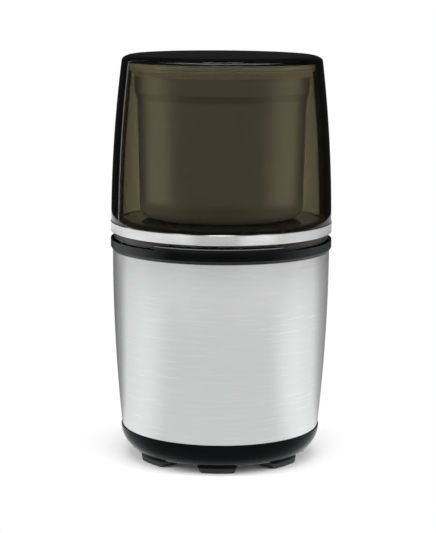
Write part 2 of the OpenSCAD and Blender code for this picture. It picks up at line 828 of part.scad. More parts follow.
// ---- Lid ----
z_skirt = z_groove + press_travel + 0.3;
skirt_r = collar_r - lip_t - 0.3;
ring_seat_r = collar_r - ring_t;
skirt_inner = deck_r + 0.3;
lid_fillet_in = lid_margin - 0.1;

module lid_shell() color([0.25, 0.23, 0.18, 0.6]) {
    n = 16;
    z_bend = z_lid_edge - lid_round;
    zs = [for (i = [0:n]) z_ring_top + (z_bend - z_ring_top) * i / n];
    edge_r = lid_at(z_bend) - lid_round;
    top_in = lid_at(z_ceiling) - lid_wall - lid_fillet_in;
    outer = concat(
        [[skirt_r - skirt_step, z_skirt], [skirt_r - skirt_step, z_front + 0.8],
         [skirt_r, z_front + 1.1], [skirt_r, z_ring - 0.05], [ring_seat_r, z_ring - 0.05],
         [ring_seat_r, z_ring_top]],
        [for (z = zs) [lid_at(z), z]],
        [for (i = [1:8]) let (a = i * 88 / 8)
            [edge_r + lid_round * cos(a), z_bend + lid_round * sin(a)]],
        [[edge_r * 0.5, z_lid_edge + lid_crown * 0.75], [0, z_lid_edge + lid_crown]]);
    inner = concat([[0, z_ceiling]],
        arc(top_in, z_ceiling - lid_fillet_in, lid_fillet_in, 90, 0, 5),
        [for (i = [n - 1:-1:1]) [lid_at(zs[i]) - lid_wall, zs[i]]],
        [[skirt_inner, z_ring_top + 1], [skirt_inner, z_skirt]]);
    rotate_extrude() polygon(concat(outer, inner));
}

// Two rings welded under the lid's top; they slide down round the gasket
module lid_ribs() color([0.25, 0.23, 0.18, 0.6]) {
    for (r = [rib_inner - rib_t, rib_outer]) ring(r, r + rib_t, z_ceiling - rib_h, z_ceiling);
}

module lid_trim_ring() color([0.82, 0.82, 0.83]) {
    c = 0.35;
    rotate_extrude() polygon([[ring_seat_r, z_ring], [collar_r - c, z_ring],
        [collar_r - 0.08, z_ring + c], [collar_r, z_ring + 1.2], [collar_r, z_ring_top - 1.2],
        [collar_r - 0.08, z_ring_top - c], [collar_r - c, z_ring_top],
        [ring_seat_r, z_ring_top]]);
}

// ---- Gasket between the rim and the lid's ribs ----
gasket_leg = 2;
gasket_skirt = 0.5;
gasket_grip = 0.2;

module bowl_gasket() color([0.55, 0.55, 0.55]) {
    z_body = z_rim + seat_gap;
    top = z_ceiling - press_travel - 0.3;
    rotate_extrude() polygon([
        [gasket_in, z_rim - gasket_leg], [rim_r - bowl_t - gasket_grip, z_rim - gasket_leg],
        [rim_r - bowl_t - gasket_grip, z_body], [rim_r + gasket_grip, z_body],
        [rim_r + gasket_grip, z_rim - gasket_skirt], [gasket_out, z_rim - gasket_skirt],
        [gasket_out, top - 0.4], [gasket_out - 0.4, top], [gasket_in + 0.4, top],
        [gasket_in, top - 0.4]]);
}

// ---- Motor ----
pocket_h = 9;
plate_t = 3;
slinger_room = 2.3;
z_up = z_hub_low - slinger_room;
z_plate_up = z_up - pocket_h;
fan_h = 8;
z_fan1 = z_plate_up - 2;
z_fan0 = z_fan1 - fan_h;
z_stack1 = z_fan0 - 2 - coil_out;
z_low = z_floor + 15.5;
z_com0 = z_low + 5;
z_com1 = z_com0 + commutator_h;
z_stack0 = z_com1 + 2 + coil_out;
stack_h = z_stack1 - z_stack0;
bearing_h = 7;
bracket_hub_up = 12.5;
bracket_hub_low = 11.5;
upper_bearing_r = 9.5;
lower_bearing_r = 8;
pole_half = 8;
bore_r = armature_r + air_gap;
pole_tip = bore_r + 0.5;
coil_x0 = bore_r + 1.5;
coil_fit = 0.5;
coil_round = 6;
stator_half = coil_x0 + coil_t + coil_fit + yoke_t;
stator_cut = 7;
stator_corner = body_screw_r - boss_r - 0.8;
pillar_r = 3;
pillar_at = (min((2 * stator_half - stator_cut) / sqrt(2), stator_corner) - pillar_r + 0.2) / sqrt(2);
coil_half = pillar_at - 3.2;
motor_shank = 1.8;
motor_head_r = 3.2;
motor_head_h = 3;
arm_w = 2 * pillar_r + 0.6;
brush_w = 6;
brush_hh = 4;
brush_fit = 0.1;
brush_len = 9;
holder_y0 = commutator_r + 2.7;
holder_y1 = commutator_r + 15.5;
holder_wall = 0.9;
holder_half = brush_w / 2 + brush_fit + holder_wall;
cap_t = 1.2;
grommet_neck = 4;
grommet_flange = 6;
grommet_t = 1.5;
z_mount_top = z_plate_up + plate_t + grommet_t;
mount_grip = 7;
z_mount_tip = z_mount_top + mount_grip;

module at_pillars() {
    for (x = [-1, 1], y = [-1, 1]) translate([x * pillar_at, y * pillar_at, 0]) children();
}

// Laminations: two poles reach in from the sides, and the coils lie in the four windows
module stator_core() color([0.42, 0.43, 0.45]) {
    w = stator_half;
    flat = w - stator_cut;
    window = coil_half + coil_fit;
    translate([0, 0, z_stack0]) difference() {
        linear_extrude(stack_h) difference() {
            intersection() {
                polygon([[w, flat], [flat, w], [-flat, w], [-w, flat],
                    [-w, -flat], [-flat, -w], [flat, -w], [w, -flat]]);
                circle(r = stator_corner);
            }
            circle(r = bore_r);
            square([2 * pole_half, 2 * window + 2.4], center = true);
            for (sx = [-1, 1], sy = [-1, 1]) scale([sx, sy])
                polygon([[pole_half / 2, pole_tip], [coil_x0 - coil_fit, bore_r - 3],
                    [coil_x0 - coil_fit, pole_half], [coil_x0 + coil_t + coil_fit, pole_half],
                    [coil_x0 + coil_t + coil_fit, window], [pole_half / 2, window]]);
        }
        at_pillars() translate([0, 0, -1]) cylinder(r = motor_shank + screw_fit, h = stack_h + 2);
    }
}

module field_coils() color([0.6, 0.3, 0.12]) {
    half = stack_h / 2 + coil_out;
    for (s = [0, 180]) rotate([0, 0, s]) translate([coil_x0, 0, (z_stack0 + z_stack1) / 2])
        rotate([90, 0, 90]) linear_extrude(coil_t) difference() {
            rounded(2 * coil_half, 2 * half, coil_round);
            rounded(2 * pole_half + 0.6, stack_h + 1, 0.4);
        }
}

module upper_bracket() color([0.62, 0.63, 0.65]) {
    difference() {
        union() {
            translate([0, 0, z_plate_up]) linear_extrude(plate_t) {
                circle(r = bracket_hub_up + 4.5);
                for (a = [45, 135]) rotate(a)
                    square([2 * sqrt(2) * pillar_at, arm_w], center = true);
                for (x = [-1, 1], y = [-1, 1]) translate([x * pillar_at, y * pillar_at])
                    circle(r = pillar_r + 1);
                for (a = mount_angles) rotate(a) {
                    translate([0, -grommet_flange + 1]) square([mount_r, 2 * grommet_flange - 2]);
                    translate([mount_r, 0]) circle(r = grommet_flange + 1);
                }
            }
            post(bracket_hub_up, z_plate_up, z_up);
            at_pillars() post(pillar_r, z_stack1, z_plate_up + 1);
        }
        post(upper_bearing_r, z_up - bearing_h - 0.5, z_up + 1);
        post(shaft_r + 1.5, z_plate_up - 1, z_up);
        at_pillars() post(motor_shank + screw_fit, z_stack1 - 1, z_plate_up + plate_t + 1);
        for (a = mount_angles) polar(a, mount_r)
            post(grommet_neck, z_plate_up - 1, z_plate_up + plate_t + 1);
    }
}

module lower_bracket() color([0.62, 0.63, 0.65]) {
    difference() {
        union() {
            translate([0, 0, z_low - plate_t]) linear_extrude(plate_t) {
                circle(r = bracket_hub_low + 4.5);
                square([2 * holder_half + 6, 2 * holder_y1 + 2], center = true);
                for (a = [45, 135]) rotate(a)
                    square([2 * sqrt(2) * pillar_at, arm_w], center = true);
                for (x = [-1, 1], y = [-1, 1]) translate([x * pillar_at, y * pillar_at])
                    circle(r = pillar_r + 1);
            }
            post(bracket_hub_low, z_floor + 2.5, z_low);
            at_pillars() post(pillar_r, z_low - 1, z_stack0);
        }
        post(lower_bearing_r, z_low - bearing_h - 2, z_low + 1);
        post(shaft_r + 1.5, z_floor + 1, z_low);
        at_pillars() post(motor_shank + screw_fit, z_low - plate_t - 1, z_stack0 + 1);
    }
}

// A sealed ball bearing as one ring, with its shields set back in both faces
module bearing(ro, ri, z0, z1) {
    mid = (ro + ri) / 2;
    difference() {
        ring(ri, ro, z0, z1);
        for (z = [z0, z1]) ring(mid - 1, mid + 1, z - 0.6, z + 0.6);
    }
}

running_fit = 0.04;

module upper_bearing() color([0.8, 0.8, 0.82])
    bearing(upper_bearing_r, shaft_r + running_fit, z_up - bearing_h - 0.5, z_up - 0.5);

module lower_bearing() color([0.8, 0.8, 0.82])
    bearing(lower_bearing_r, shaft_r + running_fit, z_low - bearing_h - 2, z_low - 2);

module motor_screws() color("silver") {
    at_pillars() {
        post(motor_shank, z_low - plate_t - eps, z_plate_up + plate_t);
        translate([0, 0, z_low - plate_t - motor_head_h])
            cylinder(r = motor_head_r, h = motor_head_h, $fn = 6);
    }
}

module motor_mounts() color([0.13, 0.13, 0.13]) {
    for (a = mount_angles) polar(a, mount_r) difference() {
        union() {
            post(grommet_neck - 0.02, z_plate_up - grommet_t, z_mount_top);
            post(grommet_flange, z_plate_up - grommet_t, z_plate_up);
            post(grommet_flange, z_plate_up + plate_t, z_mount_top);
        }
        post(mount_shank + screw_fit, z_plate_up - 3, z_mount_top + 1);
    }
}

module mount_screws() color("silver") {
    low = z_plate_up - grommet_t;
    for (a = mount_angles) polar(a, mount_r) difference() {
        union() {
            post(4.4, low - 1, low);
            post(2.8, low - 3, low - 0.9);
            post(mount_shank, low - eps, z_mount_tip);
        }
        translate([0, 0, low - 3 - eps]) cross_recess(3.4, 1.4);
    }
}

module lower_mount() color([0.13, 0.13, 0.13]) {
    difference() {
        post(lower_mount_r, z_floor, z_bearing_seat + 1);
        post(bracket_hub_low, z_floor + 2.5, z_bearing_seat + 2);
        post(shaft_r + 1.5, z_floor - 1, z_floor + 4);
    }
}

module at_brushes() {
    for (a = [0, 180]) rotate([0, 0, a])
        translate([0, 0, (z_com0 + z_com1) / 2 - 0.5]) children();
}

module brush_holders() color([0.78, 0.62, 0.3]) {
    ho = brush_hh + brush_fit + holder_wall;
    at_brushes() difference() {
        union() {
            block(-holder_half, holder_half, holder_y0, holder_y1, -ho, ho);
            block(-holder_half - 2, holder_half + 2, holder_y0 + 2, holder_y1 - 1,
                z_low - (z_com0 + z_com1) / 2 + 0.5, -ho + 1);
        }
        block(brush_w / -2 - brush_fit, brush_w / 2 + brush_fit, holder_y0 - 1, holder_y1 + 1,
            -brush_hh - brush_fit, brush_hh + brush_fit);
    }
}

module carbon_brushes() color([0.17, 0.17, 0.18]) {
    at_brushes() difference() {
        block(-brush_w / 2, brush_w / 2, commutator_r - 1, commutator_r + brush_len,
            -brush_hh, brush_hh);
        translate([0, 0, -brush_hh - 1]) cylinder(r = commutator_r + running_fit,
            h = 2 * brush_hh + 2);
    }
}

module brush_caps() color([0.2, 0.2, 0.2]) {
    at_brushes() {
        block(-holder_half, holder_half, holder_y1, holder_y1 + cap_t, -5, 5);
        translate([0, holder_y1 - 1, 0]) rotate([-90, 0, 0]) cylinder(r = 1.4, h = 1 + eps);
    }
}

// A coil spring standing on z = 0, as a closed swept tube
module coil_spring(r, wire, h, turns) {
    sides = 6;
    steps = 12 * turns;
    pts = [for (i = [0:steps], j = [0:sides - 1])
        let (t = 360 * turns * i / steps, a = 360 * j / sides, q = r + wire * cos(a))
        [q * cos(t), q * sin(t), wire + (h - 2 * wire) * i / steps + wire * sin(a)]];
    sidewalls = [for (i = [0:steps - 1], j = [0:sides - 1]) let (k = (j + 1) % sides)
        [i * sides + j, i * sides + k, (i + 1) * sides + k, (i + 1) * sides + j]];
    polyhedron(pts, concat(sidewalls, [[for (j = [sides - 1:-1:0]) j]],
        [[for (j = [0:sides - 1]) steps * sides + j]]));
}

module brush_springs() color([0.75, 0.75, 0.76]) {
    y0 = commutator_r + brush_len;
    at_brushes() translate([0, y0 + 0.05, 0]) rotate([-90, 0, 0])
        coil_spring(2.1, 0.28, holder_y1 - y0 - 0.1, 4);
}

fuse_r = 2;
fuse_len = 12;

module thermal_fuse() color([0.85, 0.85, 0.8]) {
    translate([coil_x0 + coil_t / 2, 0, z_stack0 - coil_out - fuse_r]) rotate([90, 0, 0])
        translate([0, 0, -fuse_len / 2]) cylinder(r = fuse_r, h = fuse_len);
}

module motor_shaft() color([0.7, 0.7, 0.72]) {
    post(shaft_r, z_low - bearing_h - 1.5, z_drive + 1.5);
}

slot_in_r = 3;
slot_bore = 1.5;
slot_mouth = 1.2;
winding_r = 1.4;
bars = 18;
bar_gap = 0.25;
riser_h = 1.5;
riser_out = 1.6;
fan_hub_r = 6.5;
fan_plate_t = 1.2;
fan_lean = 12;

module slot_pattern() {
    for (i = [0:slot_n - 1]) rotate(i * 360 / slot_n) children();
}

module armature_core() color([0.45, 0.45, 0.47]) {
    translate([0, 0, z_stack0]) linear_extrude(stack_h) difference() {
        circle(r = armature_r);
        circle(r = shaft_r);
        slot_pattern() {
            translate([armature_r - slot_in_r, 0]) circle(r = slot_bore);
            translate([armature_r - 2, -slot_mouth / 2]) square([4, slot_mouth]);
        }
    }
}

module armature_windings() color([0.66, 0.34, 0.14]) {
    ro = armature_r - 1;
    for (s = [0, 1]) rotate_extrude() {
        z = s == 0 ? z_stack0 - coil_out : z_stack1;
        polygon([[shaft_r + 2.5, z + 1], [shaft_r + 3.5, z + (s == 0 ? 0.8 : 0)],
            [ro - 2, z + (s == 0 ? 0.8 : 0)], [ro, z + 2.4], [ro, z + coil_out - 2.4],
            [ro - 2, z + coil_out - (s == 0 ? 0 : 0.8)],
            [shaft_r + 3.5, z + coil_out - (s == 0 ? 0 : 0.8)], [shaft_r + 2.5, z + coil_out - 1]]);
    }
    slot_pattern() translate([armature_r - slot_in_r, 0, 0])
        post(winding_r, z_stack0 - 0.5, z_stack1 + 0.5);
}

module commutator() color([0.75, 0.45, 0.25]) {
    difference() {
        union() {
            ring(shaft_r, commutator_r, z_com0, z_com1);
            ring(shaft_r, commutator_r + riser_out, z_com1 - riser_h, z_com1);
        }
        for (i = [0:bars - 1]) rotate([0, 0, i * 360 / bars])
            block(commutator_r - 1, commutator_r + 2, -bar_gap, bar_gap, z_com0 + 1, z_com1 + 1);
    }
}

module cooling_fan() color([0.2, 0.35, 0.5]) {
    difference() {
        union() {
            post(fan_hub_r, z_fan0, z_fan1);
            post(fan_r, z_fan1 - fan_plate_t, z_fan1);
            for (i = [0:fan_n - 1]) rotate([0, 0, i * 360 / fan_n])
                translate([fan_hub_r - 1, 0, z_fan0]) rotate([0, 0, fan_lean])
                    cube([fan_r - fan_hub_r - 0.6, fan_plate_t, z_fan1 - z_fan0 - 1]);
        }
        post(shaft_r, z_fan0 - 1, z_fan1 + 1);
    }
}

module shaft_slinger() color([0.15, 0.15, 0.15]) {
    ring(shaft_r, bracket_hub_up - 1.5, z_up + 0.8, z_up + 1.8);
}

// ---- Push rod and switch ----
finger_t = 1.1;
arm_h = 3.5;
rod_step = 2;
rod_relief = 0.7;
nose_len = 3;
z_arm_top = z_groove - web_t - 0.3;
z_arm = z_arm_top - arm_h;
spring_h = 6.5;
z_guide = z_arm - spring_h;
guide_h = 6;
z_pivot = z_groove - 33;
pivot_x = rod_x - 11;
lever_len = rod_x + 1 - pivot_x;
pin_r = 0.6;
pin_fit = 0.05;
nose_r = 1;
z_nose = z_pivot + lever_len * tan(lever_a) + 0.26 + 0.1;
carrier_y0 = 3.4;
carrier_t = 2;
switch_half = 3.1;
switch_h = 9.8;
z_switch = z_pivot - 0.7;
peg_r = 1.2;
peg_z = 3;
peg_x = [rod_x - 8, rod_x - 0.5];
switch_x0 = rod_x - 13;
switch_x1 = rod_x + 3;
ear_half = 1.5;
ear_t = 0.3;
ear_h = 1.7;
tab_x = [2.5, 7.5, 12.5];
tab_t = 0.8;
tab_half = 1.6;
tab_len = 5;
lever_half = 2.2;

module push_rod() color([0.9, 0.9, 0.88]) {
    translate([rod_x, 0, 0]) {
        post(rod_r, z_guide - rod_step, z_arm + eps);
        post(rod_r - rod_relief, z_nose + nose_len, z_guide - rod_step + eps);
        post(nose_r, z_nose, z_nose + nose_len + eps);
    }
    block(rod_x - rod_r, deck_r - deck_wall - 0.4, -rod_half, rod_half, z_arm, z_arm_top);
    block(rod_x, slot_in + 0.2 + finger_t, -rod_half, rod_half, z_arm, z_arm_top - 0.5);
    block(slot_in + 0.2, slot_in + 0.2 + finger_t, -rod_half, rod_half, z_arm, z_skirt - 0.05);
}

module rod_spring() color([0.75, 0.75, 0.76]) {
    translate([rod_x, 0, z_guide]) coil_spring(rod_r + 0.42, 0.22, spring_h, 4);
}

module switch_carrier() color([0.18, 0.18, 0.18]) {
    y1 = carrier_y0 + carrier_t;
    z0 = z_switch - switch_h;
    difference() {
        union() {
            block(switch_x0 + 0.5, switch_x1 - 1.5, carrier_y0, y1, z0, z_flange);
            block(switch_x0 + 0.5, switch_x1 - 2.5, carrier_y0, carrier_y + 3,
                z_flange - 2, z_flange);
            block(rod_x - rod_r - 1.4, rod_x + rod_r + 1.2, -switch_half, y1,
                z_guide - guide_h, z_guide);
            for (x = peg_x) translate([x, y1, z0 + peg_z]) rotate([90, 0, 0])
                cylinder(r = peg_r, h = carrier_t + 2 * switch_half + 0.2);
        }
        translate([rod_x, 0, 0]) post(rod_r + 0.06, z_guide - guide_h - 1, z_guide + 1);
        for (x = carrier_x) translate([x, carrier_y, 0])
            post(carrier_shank + 0.1, z_flange - 3, z_flange + 1);
        block(rod_x - rod_r - 4, slot_in + 2, -rod_half - rod_fit, rod_half + rod_fit,
            z_arm - 3, z_flange + 1);
    }
}

module carrier_screws() color("silver") {
    for (x = carrier_x) translate([x, carrier_y, 0]) {
        post(2.1, z_flange - 3.6, z_flange - 2);
        post(carrier_shank, z_flange - 2 - eps, z_flange + carrier_grip);
    }
}

module microswitch() color([0.12, 0.12, 0.13]) {
    z0 = z_switch - switch_h;
    difference() {
        union() {
            block(switch_x0, switch_x1, -switch_half, switch_half, z0, z_switch);
            for (s = [-1, 1]) block(pivot_x - ear_half, pivot_x + ear_half,
                s * (switch_half - ear_t) - ear_t, s * (switch_half - ear_t) + ear_t,
                z_switch - eps, z_switch + ear_h);
            for (x = tab_x) block(switch_x0 + x, switch_x0 + x + tab_t, -tab_half, tab_half,
                z0 - tab_len, z0 + eps);
        }
        for (x = peg_x) translate([x, switch_half + 1, z0 + peg_z]) rotate([90, 0, 0])
            cylinder(r = peg_r + screw_fit, h = 2 * switch_half + 2);
        translate([pivot_x, switch_half + 1, z_pivot]) rotate([90, 0, 0])
            cylinder(r = pin_r + pin_fit, h = 2 * switch_half + 2);
    }
}

module switch_lever() color([0.8, 0.8, 0.8]) {
    translate([pivot_x, 0, z_pivot]) {
        rotate([90, 0, 0]) translate([0, 0, -switch_half])
            cylinder(r = pin_r, h = 2 * switch_half);
        rotate([0, -lever_a, 0]) block(-0.3, lever_len, -lever_half, lever_half, -0.2, 0.25);
    }
}

base_tub();
foot_pads();
steel_shell();
top_housing();
body_screws();
cord_gland();
cord_clamp();
clamp_screws();
terminal_block();
capacitor();
thermal_fuse();
stator_core();
field_coils();
upper_bracket();
lower_bracket();
upper_bearing();
lower_bearing();
motor_screws();
motor_mounts();
mount_screws();
lower_mount();
brush_holders();
carbon_brushes();
brush_springs();
brush_caps();
switch_carrier();
carrier_screws();
microswitch();
rod_spring();
motor_shaft();
drive_coupling();
armature_core();
armature_windings();
commutator();
cooling_fan();
shaft_slinger();
push_rod();
switch_lever();
bowl_seat_ring();
bowl_cup();
bowl_base();
spindle_housing();
spindle_bushes();
spindle_seal();
bowl_screws();
blade();
blade_spindle();
blade_washer();
blade_nut();
driven_coupling();
spindle_clip();
bowl_gasket();
lid_shell();
lid_ribs();
lid_trim_ring();
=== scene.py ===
"""Looks of an electric spice grinder: brushed motor base, steel bowl and smoked push-down lid."""

from math import cos, pi, radians, sin, sqrt, tan

import bmesh
import bpy
from mathutils import Matrix, Vector


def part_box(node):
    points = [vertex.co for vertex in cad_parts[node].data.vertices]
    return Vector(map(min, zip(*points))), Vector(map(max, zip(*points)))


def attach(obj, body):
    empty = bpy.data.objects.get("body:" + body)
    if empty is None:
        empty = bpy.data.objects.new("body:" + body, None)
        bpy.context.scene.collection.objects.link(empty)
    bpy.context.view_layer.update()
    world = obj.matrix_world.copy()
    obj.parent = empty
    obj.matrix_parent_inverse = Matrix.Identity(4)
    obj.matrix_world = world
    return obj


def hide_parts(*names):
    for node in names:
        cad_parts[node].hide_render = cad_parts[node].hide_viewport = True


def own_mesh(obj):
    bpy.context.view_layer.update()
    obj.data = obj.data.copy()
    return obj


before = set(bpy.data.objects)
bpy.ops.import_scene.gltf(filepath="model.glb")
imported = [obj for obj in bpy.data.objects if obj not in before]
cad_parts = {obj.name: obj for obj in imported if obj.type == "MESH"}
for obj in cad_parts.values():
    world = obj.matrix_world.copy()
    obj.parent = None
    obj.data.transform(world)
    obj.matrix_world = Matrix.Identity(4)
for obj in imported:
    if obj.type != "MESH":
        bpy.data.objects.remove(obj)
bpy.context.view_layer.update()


# ---------------------------------------------------------------- camera
# The camera stands a little under a metre away and a little above the lid, on a long
# lens. It is turned a touch to the object's right and rolled by a third of a degree.
MM = 0.001
camera_reach = 0.900
camera_height = 0.2439
camera_turn = radians(1.6)
camera_pitch = radians(9.39)
camera_roll = radians(0.38)
aim_aside = -1.45 * MM
lens_mm = 123.06
sensor_mm = 36

camera_data = bpy.data.cameras.new("camera")
camera_data.lens = lens_mm
camera_data.sensor_width = sensor_mm
camera = bpy.data.objects.new("camera", camera_data)
camera.matrix_world = (
    Matrix.Rotation(camera_turn, 4, "Z")
    @ Matrix.Translation((aim_aside, -camera_reach, camera_height))
    @ Matrix.Rotation(pi / 2 - camera_pitch, 4, "X")
    @ Matrix.Rotation(camera_roll, 4, "Z"))
bpy.context.scene.collection.objects.link(camera)
bpy.context.scene.camera = camera
bpy.context.scene.view_settings.view_transform = "Standard"


# ---------------------------------------------------------------- studio
# A white sweep lit from both sides and above. Cards that show only in reflections stand
# round it: grey in front and bright beside, on a table that ends in a dark room.
class Wire:
    """An output socket; arithmetic on it adds Math nodes to its material."""

    def __init__(self, finish, socket):
        self.finish, self.socket = finish, socket

    def maths(self, operation, *values, clamped=False):
        settings = {"operation": operation, "use_clamp": clamped}
        return self.finish.node("ShaderNodeMath", settings, dict(enumerate(values)))

    def __add__(self, other): return self.maths("ADD", self, other)
    def __sub__(self, other): return self.maths("SUBTRACT", self, other)
    def __rsub__(self, other): return self.maths("SUBTRACT", other, self)
    def __mul__(self, other): return self.maths("MULTIPLY", self, other)
    __radd__, __rmul__ = __add__, __mul__

    def clamp(self):
        return self.maths("ADD", self, 0, clamped=True)

    def past(self, start, fade):
        """0 up to start, then rising to 1 over the distance fade."""
        return ((self - start) * (1 / fade)).clamp()


class Finish:
    """A material or world tree; node() adds one node and gives one output as a wire."""

    def __init__(self, name, owner=None):
        self.owner = owner or bpy.data.materials.new(name)
        self.owner.use_nodes = True
        self.tree = self.owner.node_tree
        self.tree.nodes.clear()

    def node(self, kind, settings=None, inputs=None, output=0):
        made = self.tree.nodes.new(kind)
        for key, value in (settings or {}).items():
            if key == "stops":
                stops = made.color_ramp.elements
                for place, colour in value[1:-1]:
                    stops.new(place).color = (*colour, 1)
                for end in (0, -1):
                    stops[end].position, stops[end].color = value[end][0], (*value[end][1], 1)
            else:
                setattr(made, key, value)
        for key, value in (inputs or {}).items():
            if isinstance(value, Wire):
                self.tree.links.new(value.socket, made.inputs[key])
            else:
                made.inputs[key].default_value = value
        return Wire(self, made.outputs[output]) if made.outputs else made

    def place(self, scale=(1, 1, 1)):
        """Object coordinates in metres, stretched by scale."""
        spot = self.node("ShaderNodeTexCoord", output=3)
        return self.node("ShaderNodeMapping", None, {"Vector": spot, "Scale": scale})

    def along(self, axis):
        """Metres along an axis: 0 is to the right, 1 is back and 2 is up."""
        return self.node("ShaderNodeSeparateXYZ", None, {0: self.place()}, output=axis)

    def away(self):
        """Metres from the upright axis."""
        return self.node("ShaderNodeVectorMath", {"operation": "LENGTH"},
                         {0: self.place((1, 1, 0))}, output=1)

    def noise(self, scale, detail=2, rough=0.5, stretch=(1, 1, 1)):
        return self.node("ShaderNodeTexNoise", None, {
            "Vector": self.place(stretch), "Scale": scale, "Detail": detail,
            "Roughness": rough})

    def blend(self, factor, first, second):
        """A mix of two colours, each of them a wire or a red, green and blue."""
        ends = [end if isinstance(end, Wire) else (*end, 1) for end in (first, second)]
        return self.node("ShaderNodeMix", {"data_type": "RGBA"},
                         {0: factor, 6: ends[0], 7: ends[1]}, output=2)

    def bump(self, height, depth):
        """Height is 0 to 1 over depth metres."""
        return self.node("ShaderNodeBump", None, {
            "Height": height, "Distance": depth, "Strength": 1.0})

    def surface(self, volume=None, **inputs):
        names = {key.replace("_", " "): value for key, value in inputs.items()}
        ends = {"Surface": self.node("ShaderNodeBsdfPrincipled", None, names)}
        if volume:
            ends["Volume"] = volume
        self.node("ShaderNodeOutputMaterial", None, ends)
        return self.owner


def looked_at(finish):
    """1 where the camera, a reflection or a see-through piece looks, 0 for plain light."""
    rays = [finish.node("ShaderNodeLightPath", output=key)
            for key in ("Is Camera Ray", "Is Glossy Ray", "Is Transmission Ray")]
    return (rays[0] + rays[1] + rays[2]).clamp()


ambient = 0.62
sky = Finish("sky", bpy.data.worlds.new("sky"))
bpy.context.scene.world = sky.owner
backdrop = sky.node("ShaderNodeBackground", None, {
    "Color": (1, 1, 1, 1), "Strength": looked_at(sky) * (1 - ambient) + ambient})
sky.node("ShaderNodeOutputWorld", None, {"Surface": backdrop})


def put(name, mesh_maker, material):
    """A new object of the stage, whose mesh is built by mesh_maker(bm) in metres."""
    bm = bmesh.new()
    mesh_maker(bm)
    mesh = bpy.data.meshes.new(name)
    bm.to_mesh(mesh)
    bm.free()
    mesh.materials.append(material)
    made = bpy.data.objects.new(name, mesh)
    bpy.context.scene.collection.objects.link(made)
    return made


floor_side = 8.0
floor_clear = 0.050
floor_fade = 0.035


def paper():
    """White paper that takes the object's shadow and is plain white further out."""
    white = Finish("paper")
    grain = white.noise(300, 3)
    shade = white.blend(grain, (0.90, 0.90, 0.90), (0.93, 0.93, 0.93))
    far = white.away().past(floor_clear, floor_fade)
    sheet = white.node("ShaderNodeBsdfPrincipled", None, {"Base Color": shade, "Roughness": 0.9})
    plain = white.node("ShaderNodeEmission", None, {"Color": (1, 1, 1, 1)})
    both = white.node("ShaderNodeMixShader", None, {0: far * looked_at(white), 1: sheet, 2: plain})
    white.node("ShaderNodeOutputMaterial", None, {"Surface": both})
    return white.owner


put("floor", lambda bm: bmesh.ops.create_grid(
    bm, x_segments=4, y_segments=4, size=floor_side / 2), paper())

aim = Vector((0, 0, 0.1))


def softbox(name, turn, height, reach, width, tall, power):
    """A rectangle of light that faces the middle of the object."""
    data = bpy.data.lights.new(name, "AREA")
    data.shape, data.size, data.size_y, data.energy = "RECTANGLE", width, tall, power
    lamp = bpy.data.objects.new(name, data)
    spot = Vector((sin(turn) * reach, -cos(turn) * reach, height))
    lamp.location = spot
    lamp.rotation_mode = "QUATERNION"
    lamp.rotation_quaternion = (aim - spot).to_track_quat("-Z", "Y")
    lamp.visible_camera = False
    lamp.visible_glossy = False
    bpy.context.scene.collection.objects.link(lamp)


softbox("left_softbox", turn=radians(-82), height=0.55, reach=1.35, width=0.86, tall=1.35,
        power=19.6)
softbox("right_softbox", turn=radians(84), height=0.55, reach=1.35, width=0.92, tall=1.35,
        power=19.6)
softbox("top_softbox", turn=radians(10), height=2.1, reach=0.7, width=1.7, tall=1.7, power=24)

# Each tone is a pair of a bearing, in degrees to the right of the front, and a grey.
# These are for a reflection that has crossed the lid's wall on its way in and out.
seen_inside = [(-180, 1.0), (-162, 1.0), (-148, 0.20), (-128, 0.50), (-110, 1.5), (-84, 1.4),
               (-60, 0.55), (58, 0.55), (84, 1.3), (112, 1.5), (130, 0.60), (148, 0.20),
               (162, 1.0), (180, 1.0)]
wall_crossings = 3.5
reflections = 0.5
card_steps = 96


def card(name, section, tones):
    """A round card that only reflections show; its upright cut is (reach, height) pairs."""
    cloth = Finish(f"{name}_cloth")
    aside, back = cloth.along(0), cloth.along(1)
    bearing = aside.maths("ARCTAN2", aside, back * -1) * (0.5 / pi) + 0.5

    def glow(pairs):
        stops = [((turn + 180) / 360, (grey, grey, grey)) for turn, grey in pairs]
        tone = cloth.node("ShaderNodeValToRGB", {"stops": stops}, {0: bearing})
        return cloth.node("ShaderNodeEmission", None, {"Color": tone})

    def deeper(kind, count):
        depth = cloth.node("ShaderNodeLightPath", output=kind)
        return depth.maths("GREATER_THAN", depth, count)

    seen = cloth.node("ShaderNodeMixShader", None, {
        0: deeper("Transmission Depth", wall_crossings), 1: glow(tones), 2: glow(seen_inside)})
    clear = cloth.node("ShaderNodeBsdfTransparent")
    both = cloth.node("ShaderNodeMixShader", None, {
        0: deeper("Glossy Depth", reflections), 1: clear, 2: seen})
    cloth.node("ShaderNodeOutputMaterial", None, {"Surface": both})

    def sweep(bm):
        spots = [bm.verts.new((0, -reach, height)) for reach, height in section]
        wire = [bm.edges.new(pair) for pair in zip(spots, spots[1:])]
        bmesh.ops.spin(bm, geom=spots + wire, cent=(0, 0, 0), axis=(0, 0, 1),
                       angle=2 * pi, steps=card_steps, use_merge=True)

    made = put(name, sweep, cloth.owner)
    made.visible_camera = False
    made.visible_diffuse = False
    made.visible_shadow = False


# The table is in two greys, and dark in front along its edge; the sill past it is bright.
card_lift = 0.0015
table_start, table_split, table_edge, sill_start, sill_end = 0.020, 0.420, 0.655, 0.772, 0.930
near_glow, far_glow = 0.78, 1.18


def table(name, start, end, front):
    """A flat ring of table with bright sides and a dim back."""
    card(name, [(start, card_lift), (end, card_lift)], [
        (-150, 0.20), (-128, 0.40), (-112, 0.88), (-84, 1.0), (-70, 0.98), (-48, front),
        (50, front), (70, 1.02), (84, 1.06), (112, 0.92), (130, 0.50), (150, 0.30)])


